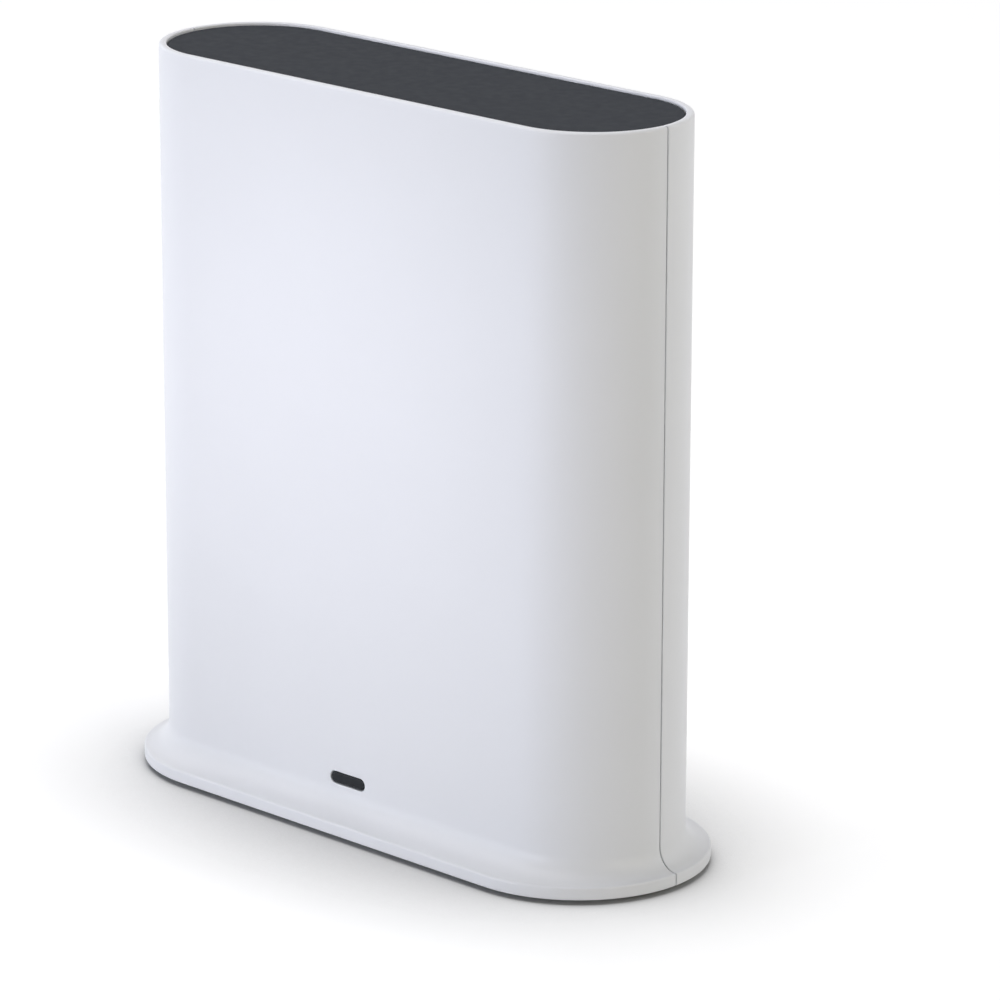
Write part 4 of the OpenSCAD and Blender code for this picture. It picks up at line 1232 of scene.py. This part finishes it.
def make_foot_pads():
    """Rubber pads: turned discs with a rounded lower edge and a ring groove underneath."""
    fit = fittings()
    top = PADS[1, 2]
    groove, deep = fit.pad_radius * GROOVE_SHARE, GROOVE_DEPTH
    edge = shoulder(fit.pad_radius, 0, 1, fit.pad_edge)[::-1]
    grip = [(groove + deep, 0), (groove, deep), (groove - 2 * deep, deep), (groove - 3 * deep, 0), (0, 0)]
    skin = Skin()
    for centre in (PADS[1, :2] - fit.pad_radius) * FOUR:
        skin.loft(turned([(0, top), (fit.pad_radius, top), *edge, *grip]), centre, 2)
    skin.piece("foot_pad_discs", "housing", "rubber", "foot_pads")


def make_base_screws():
    """Screws of the base plate: rings about the axis from the tip down the shank to the head, and in
    the head a cross whose distance from the axis is the smaller of reach / max(|cos|, |sin|) and half
    width / min(|cos|, |sin|), drawn together at its floor."""
    fit = fittings()
    low, high = BASE_SCREWS[:, 2]
    bearing = low + fit.head_height
    half = fit.recess_width / 2
    tip = math.atan2(half, fit.recess_reach)
    quarter = lines(np.array([-tip, 0, tip, np.pi / 4, np.pi / 2 - tip]), CROSS_STEPS)[:-1]
    angle = np.concatenate([quarter + n * np.pi / 2 for n in range(4)])
    ring = np.column_stack([np.cos(angle), np.sin(angle)])
    small, large = np.sort(np.abs(ring), axis=1).T
    cross = ring * np.minimum(fit.recess_reach / large, half / np.maximum(small, TINY))[:, None]
    shank = [(0, high), (SCREW_TIP * fit.shank_radius, high), (fit.shank_radius, high - fit.shank_radius),
             (fit.shank_radius, bearing), (fit.head_radius, bearing)]
    dome = shoulder(fit.head_radius, low, 1, SCREW_DOME * fit.head_radius)[::-1]
    turns = shank + [(r, z) for r, z in dome if z < bearing]
    sink = low + fit.recess_depth
    skin = Skin()
    for centre in (BASE_SCREWS[1, :2] - fit.head_radius) * FOUR:
        loops = [lifted(ring * r + centre, z, 2) for r, z in turns]
        recess = ((1, low), (CROSS_FLOOR, sink), (0, sink))
        loops += [lifted(cross * share + centre, z, 2) for share, z in recess]
        skin.tube(loops)
    skin.piece("base_screw_set", "housing", "steel", "base_screws", bevel=SCREW_BEVEL)


# Button and ports

# Steps of the button's dish, its inset as a share of the crown's rounding, and steps of a jack's wire and
# of its side.
DISH_STEPS = 8
DISH_INSET = 1.6
WIRE_STEPS = 12
JACK_STEPS = 16
# Rounding of the power jack's edges, and of its pin's tip as a share of the radius.
JACK_EDGE = 0.2 * MM
PIN_TIP = 0.6
# Bevels of thin metal, of the flat port's steel, of its tongue and of the network jack.
METAL_BEVEL = 0.06 * MM
PORT_BEVEL = 0.08 * MM
TONGUE_BEVEL = 0.12 * MM
JACK_BEVEL = 0.15 * MM


def make_sync_button():
    """Sync button: a turned form from its stalk over its flange to a rounded crown with a shallow dish,
    which sinks by (1 - square of the share of the radius) times its depth."""
    fit = fittings()
    root, crown = SYNC[:, 1]
    flange = spans(SYNC)[0] / 2
    radius = flange - fit.button_flange
    back = INNER_R - fit.button_flange_t
    edge = shoulder(radius, crown, -1, fit.button_edge)[::-1]
    share = np.linspace(1, 0, DISH_STEPS + 1)
    flat = radius - DISH_INSET * fit.button_edge
    dish = np.column_stack([flat * share, crown - fit.button_dish * (1 - share ** 2)])
    turns = [(0, root), (fit.stalk, root), (fit.stalk, back), (flange, back), (flange, INNER_R),
             (radius, INNER_R), *edge, *dish]
    skin = Skin()
    skin.loft(turned(turns), middle(SYNC), 1, FINE_STEPS, FINE_STEPS)
    skin.piece("sync_button_cap", "sync_button", "button", "sync_button")


def make_network_jack():
    """Network jack: a lattice of full and empty cells for the body with its stepped mouth, a tube for
    the steel round it, and wires whose height falls by the square of the way in from the mouth."""
    fit = fittings()
    x, z = middle(JACK)
    mouth = z + fit.plug_rise
    low, high = mouth - fit.plug_height / 2, mouth + fit.plug_height / 2
    xs = np.array([JACK[0, 0], x - fit.plug_width / 2, x - fit.latch_width / 2, x + fit.latch_width / 2,
                   x + fit.plug_width / 2, JACK[1, 0]])
    ys = np.array([JACK[0, 1], JACK[0, 1] + fit.jack_back, JACK[1, 1]])
    zs = np.array([JACK[0, 2], low - fit.latch_drop, low, high, JACK[1, 2]])
    solid = np.ones((len(xs) - 1, len(ys) - 1, len(zs) - 1), bool)
    solid[1:-1, 1, 2] = False
    solid[2, 1, 1] = False
    body = Skin()
    body.lattice(xs, ys, zs, solid)
    body.piece("network_jack_body", "housing", "black", "ethernet_jack", bevel=JACK_BEVEL)
    wall = (spans(SHIELD)[0] - spans(JACK)[0]) / 2
    steel = Skin()
    steel.loft(sleeve(*spans(SHIELD), PORT_CORNER, wall, *SHIELD[:, 1]), middle(SHIELD), 1, closed=True)
    steel.piece("network_jack_shield", "housing", "steel", "ethernet_shield", bevel=METAL_BEVEL)
    way = np.linspace(0, 1, WIRE_STEPS + 1)
    y = WIRES[0, 1] + (WIRES[1, 1] - WIRES[0, 1]) * way
    top = WIRES[1, 2] - (WIRES[1, 2] - WIRES[0, 2] - fit.wire) * (1 - way) ** 2
    section = np.concatenate([np.column_stack([y, top - fit.wire]), np.column_stack([y, top])[::-1]])
    wires = Skin()
    for place in x + row(fit.wires, fit.wire_pitch):
        wires.bar(section, place - fit.wire / 2, place + fit.wire / 2, 0)
    wires.piece("network_jack_wires", "housing", "gold", "ethernet_contacts", bevel=METAL_BEVEL)


def make_flat_port():
    """Flat port: a steel tube with rounded corners, a lattice for the block and its tongue, and the contact
    strips."""
    fit = fittings()
    x, z = middle(PORT)
    shell = Skin()
    shell.loft(sleeve(*spans(PORT), fit.port_corner, fit.port_skin, *PORT[:, 1]), (x, z), 1, JACK_STEPS,
               closed=True)
    shell.piece("flat_port_shell", "housing", "steel", "usb_shell", bevel=PORT_BEVEL)
    lift = z + fit.tongue_lift
    xs = np.array([TONGUE[0, 0], x - fit.tongue_width / 2, x + fit.tongue_width / 2, TONGUE[1, 0]])
    ys = np.array([TONGUE[0, 1], TONGUE[0, 1] + fit.port_block, TONGUE[1, 1]])
    zs = np.array([TONGUE[0, 2], lift - fit.tongue_height / 2, lift + fit.tongue_height / 2, TONGUE[1, 2]])
    solid = np.zeros((len(xs) - 1, len(ys) - 1, len(zs) - 1), bool)
    solid[:, 0] = True
    solid[1, 1, 1] = True
    block = Skin()
    block.lattice(xs, ys, zs, solid)
    block.piece("flat_port_tongue", "housing", "black", "usb_tongue", bevel=TONGUE_BEVEL)
    strips = Skin()
    half = fit.strip_width / 2
    for place in np.linspace(STRIPS[0, 0] + half, STRIPS[1, 0] - half, fit.strips):
        edges = np.array([place - half, place + half])
        strips.bar(rectangle(edges, STRIPS[:, 2]), *STRIPS[:, 1], 1)
    strips.piece("flat_port_strips", "housing", "gold", "usb_contacts", bevel=METAL_BEVEL)


def make_power_jack():
    """Power jack: a square block with rounded edges, bored from its front, and the turned pin in the
    bore."""
    fit = fittings()
    back, front = POWER[:, 1]
    side = spans(POWER)[0]
    square = (side, side, PORT_CORNER)
    floor = back + fit.power_back
    block = [closing((*square, back)), (*square, back), *eased(square, front, -1, JACK_EDGE, NARROWER)[::-1]]
    bore = (2 * fit.power_bore, 2 * fit.power_bore, fit.power_bore)
    hole = [*eased(bore, front, -1, JACK_EDGE, WIDER), (*bore, floor), closing((*bore, floor))]
    jack = Skin()
    jack.loft(block + hole, middle(POWER), 1, JACK_STEPS, JACK_STEPS)
    jack.piece("power_jack_body", "housing", "black", "power_jack")
    root, end = PIN[:, 1]
    radius = spans(PIN)[0] / 2
    tip = shoulder(radius, end, -1, PIN_TIP * radius)[::-1]
    pin = Skin()
    pin.loft(turned([(0, root), (radius, root), *tip, (0, end)]), middle(PIN), 1)
    pin.piece("power_jack_pin", "housing", "steel", "power_pin")


# Stage

WHITE = (1.0, 1.0, 1.0, 1.0)
SKY_TINT = (0.97, 0.985, 1.0, 1.0)
SENSOR_WIDTH = 36.0
FLOOR_HALF = 6.0
AIM = (0, 0, 0.09)
GLOW_PLACE = (-0.35, -1.5, 0.3)
GLOW_AIM = (-0.014, -0.021, 0.106)
GLOW_SIZE = 0.1
GLOW_TINT = (0.905, 0.9, 1.0)
# Area lamps by the name of their power: place, side of the square, tint.
LAMPS = {
    "front_lamp": ((-1.0, -1.4, 0.6), 1.4, (0.79, 0.88, 1.0)),
    "left_lamp": ((-1.7, 0.0, 0.7), 1.4, (0.9, 1.0, 0.95)),
    "top_lamp": ((-0.6, 0.0, 1.6), 1.6, (0.97, 0.95, 1.0)),
    "right_lamp": ((1.7, 0.0, 0.7), 1.4, (1.0, 0.95, 0.8)),
    "rear_lamp": ((1.1, 1.3, 0.9), 1.4, (0.875, 0.91, 1.0)),
}
# Shares of open sky, from ambient occlusion, between which the floor takes on its own light: closer to the
# object that light is taken away, a painted shadow round it.
PAINTED_SHADOW_SPAN = (0.4, 0.93)
# Distances from the object between which the floor fades to white.
FLOOR_FADE = (0.45, 1.3)


def seen_directly(shader):
    """1 for rays from the camera, from gloss and through glass, else 0."""
    path = shader.add("LightPath")
    first = shader.add("Math", {0: path.outputs["Is Camera Ray"], 1: path.outputs["Is Glossy Ray"]},
                       operation="MAXIMUM")
    return shader.add("Math", {0: first.outputs[0], 1: path.outputs["Is Transmission Ray"]},
                      operation="MAXIMUM").outputs[0]


def build_floor(context):
    """Plain pale floor that keeps the lamps' shadow. In the open it shows some light of its own. Ambient
    occlusion takes that light away where the object stands close by, a painted shadow round its foot. Far
    off the floor is plain white."""
    stage = context.scene.hub_stage
    across = FLOOR_HALF * np.array([(-1, -1, 0), (1, -1, 0), (1, 1, 0), (-1, 1, 0)])
    mesh = bpy.data.meshes.new("floor")
    mesh.from_pydata(across.tolist(), [], [(0, 1, 2, 3)])
    floor = bpy.data.objects.new("floor", mesh)
    context.scene.collection.objects.link(floor)
    material = bpy.data.materials.new("pale floor")
    material.use_nodes = True
    material.node_tree.nodes.clear()
    shader = Shader(material.node_tree)
    seen = seen_directly(shader)
    distance = shader.add("VectorMath", {0: shader.place()}, operation="LENGTH").outputs["Value"]
    near = shader.spread(distance, *FLOOR_FADE, 1.0, 0.0)
    shown = shader.spread(near, 0.0, 1.0, 0.0, stage.floor_shade * stage.floor_seen)
    shade = shader.spread(seen, 0.0, 1.0, stage.floor_shade, shown)
    matt = shader.add("BsdfDiffuse", {"Color": shade})
    # Painted shadow: ambient occlusion takes the floor's own light away near the object.
    openness_for_painted_shadow = shader.add("AmbientOcclusion", {"Distance": stage.painted_shadow_reach}).outputs["AO"]
    lift = shader.spread(openness_for_painted_shadow, *PAINTED_SHADOW_SPAN, 0.0, stage.floor_lift)
    own_light_with_painted_shadow = shader.spread(near, 0.0, 1.0, 1.0, lift)
    own = shader.add("Math", {0: seen, 1: own_light_with_painted_shadow}, operation="MULTIPLY")
    glow = shader.add("Emission", {"Color": WHITE, "Strength": own.outputs[0]})
    both = shader.add("AddShader", {0: matt.outputs[0], 1: glow.outputs[0]})
    shader.add("OutputMaterial", {"Surface": both.outputs[0]})
    mesh.materials.append(material)


def build_sky(context):
    """Even light from all round, which the camera and reflections see as plain white."""
    world = bpy.data.worlds.new("studio")
    context.scene.world = world
    world.use_nodes = True
    world.node_tree.nodes.clear()
    shader = Shader(world.node_tree)
    lit = shader.add("Background", {"Color": SKY_TINT, "Strength": context.scene.hub_stage.sky})
    seen = shader.add("Background", {"Color": WHITE, "Strength": 1.0})
    both = shader.add("MixShader", {0: seen_directly(shader), 1: lit.outputs[0], 2: seen.outputs[0]})
    shader.add("OutputWorld", {"Surface": both.outputs[0]})


def hang(context, name, lamp, place, aim):
    """Lamp in its place, turned to its aim and out of the camera's sight."""
    made = bpy.data.objects.new(name, lamp)
    made.location = place
    made.rotation_mode = "QUATERNION"
    made.rotation_quaternion = (Vector(aim) - Vector(place)).to_track_quat("-Z", "Y")
    made.visible_camera = False
    context.scene.collection.objects.link(made)


def build_lamps(context):
    """Large soft lamps round the object, and a soft spot that brightens the middle of the front."""
    stage = context.scene.hub_stage
    for name, (place, size, tint) in LAMPS.items():
        lamp = bpy.data.lights.new(name, "AREA")
        lamp.energy = getattr(stage, name)
        lamp.size = size
        lamp.color = tint
        hang(context, name, lamp, place, AIM)
    spot = bpy.data.lights.new("glow", "SPOT")
    spot.energy = stage.glow
    spot.color = GLOW_TINT
    spot.spot_size = stage.glow_cone
    spot.spot_blend = 1.0
    spot.shadow_soft_size = GLOW_SIZE
    hang(context, "glow", spot, GLOW_PLACE, GLOW_AIM)


def build_camera(context):
    """Camera on the line from its target by azimuth and elevation."""
    stage = context.scene.hub_stage
    a, e = stage.azimuth, stage.elevation
    back = Vector((math.sin(a) * math.cos(e), -math.cos(a) * math.cos(e), math.sin(e)))
    camera = bpy.data.cameras.new("camera")
    camera.sensor_width = SENSOR_WIDTH
    camera.lens = stage.lens
    camera.shift_x = stage.shift
    made = bpy.data.objects.new("camera", camera)
    made.location = Vector((stage.target_x, 0, stage.target_z)) + back * stage.distance
    made.rotation_mode = "QUATERNION"
    made.rotation_quaternion = (-back).to_track_quat("-Z", "Y")
    context.scene.collection.objects.link(made)
    context.scene.camera = made


# Operators

class HUB_OT_shells(bpy.types.Operator):
    """Build the two moulded shells of the housing"""

    bl_idname = "hub.shells"
    bl_label = "Housing shells"

    def execute(self, context):
        make_front_shell()
        make_rear_shell()
        return {"FINISHED"}


class HUB_OT_top_cap(bpy.types.Operator):
    """Build the slate cap inside the rim"""

    bl_idname = "hub.top_cap"
    bl_label = "Top cap"

    def execute(self, context):
        make_top_cap()
        return {"FINISHED"}


class HUB_OT_status_window(bpy.types.Operator):
    """Build the smoked lens of the status light"""

    bl_idname = "hub.status_window"
    bl_label = "Status window"

    def execute(self, context):
        make_status_window()
        return {"FINISHED"}


class HUB_OT_base(bpy.types.Operator):
    """Build the base plate, its screws and the foot pads"""

    bl_idname = "hub.base"
    bl_label = "Base"

    def execute(self, context):
        make_base_plate()
        make_base_screws()
        make_foot_pads()
        return {"FINISHED"}


class HUB_OT_sync_button(bpy.types.Operator):
    """Build the sync button"""

    bl_idname = "hub.sync_button"
    bl_label = "Sync button"

    def execute(self, context):
        make_sync_button()
        return {"FINISHED"}


class HUB_OT_ports(bpy.types.Operator):
    """Build the network jack, the flat port and the power jack"""

    bl_idname = "hub.ports"
    bl_label = "Ports"

    def execute(self, context):
        make_network_jack()
        make_flat_port()
        make_power_jack()
        return {"FINISHED"}


class HUB_OT_inner_finishes(bpy.types.Operator):
    """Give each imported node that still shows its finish"""

    bl_idname = "hub.inner_finishes"
    bl_label = "Inner finishes"

    def execute(self, context):
        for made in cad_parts.values():
            if not made.hide_render:
                made.data.materials[0] = finish(made.data.materials[0].name)
        return {"FINISHED"}


class HUB_OT_stage(bpy.types.Operator):
    """Set up the floor, the lamps, the sky and the camera"""

    bl_idname = "hub.stage"
    bl_label = "Stage"

    def execute(self, context):
        build_floor(context)
        build_sky(context)
        build_lamps(context)
        build_camera(context)
        context.scene.view_settings.view_transform = "Standard"
        return {"FINISHED"}


class HUB_PT_panel(bpy.types.Panel):
    """Lists the steps that build the base station and their sizes"""

    bl_idname = "HUB_PT_panel"
    bl_label = "Base station"
    bl_space_type = "VIEW_3D"
    bl_region_type = "UI"
    bl_category = "Base station"

    def draw(self, context):
        for step in STEPS:
            self.layout.operator(step.bl_idname)
        for name, kind in SETTINGS.items():
            for setting in kind.__annotations__:
                self.layout.prop(getattr(context.scene, name), setting)


STEPS = [HUB_OT_shells, HUB_OT_top_cap, HUB_OT_status_window, HUB_OT_base, HUB_OT_sync_button, HUB_OT_ports,
         HUB_OT_inner_finishes, HUB_OT_stage]
SETTINGS = {"hub_housing": HousingSizes, "hub_openings": OpeningSizes, "hub_fittings": FittingSizes,
            "hub_finishes": Finishes, "hub_stage": StageSettings}


def register():
    """Registers the settings, the steps and the panel."""
    for name, kind in SETTINGS.items():
        bpy.utils.register_class(kind)
        setattr(bpy.types.Scene, name, PointerProperty(type=kind))
    for kind in [*STEPS, HUB_PT_panel]:
        bpy.utils.register_class(kind)


def unregister():
    """Takes them away again, last first."""
    for kind in [HUB_PT_panel, *STEPS[::-1]]:
        bpy.utils.unregister_class(kind)
    for name, kind in reversed(SETTINGS.items()):
        delattr(bpy.types.Scene, name)
        bpy.utils.unregister_class(kind)


def main():
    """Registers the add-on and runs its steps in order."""
    register()
    for step in STEPS:
        family, name = step.bl_idname.split(".")
        getattr(getattr(bpy.ops, family), name)()


if __name__ == "__main__":
    main()
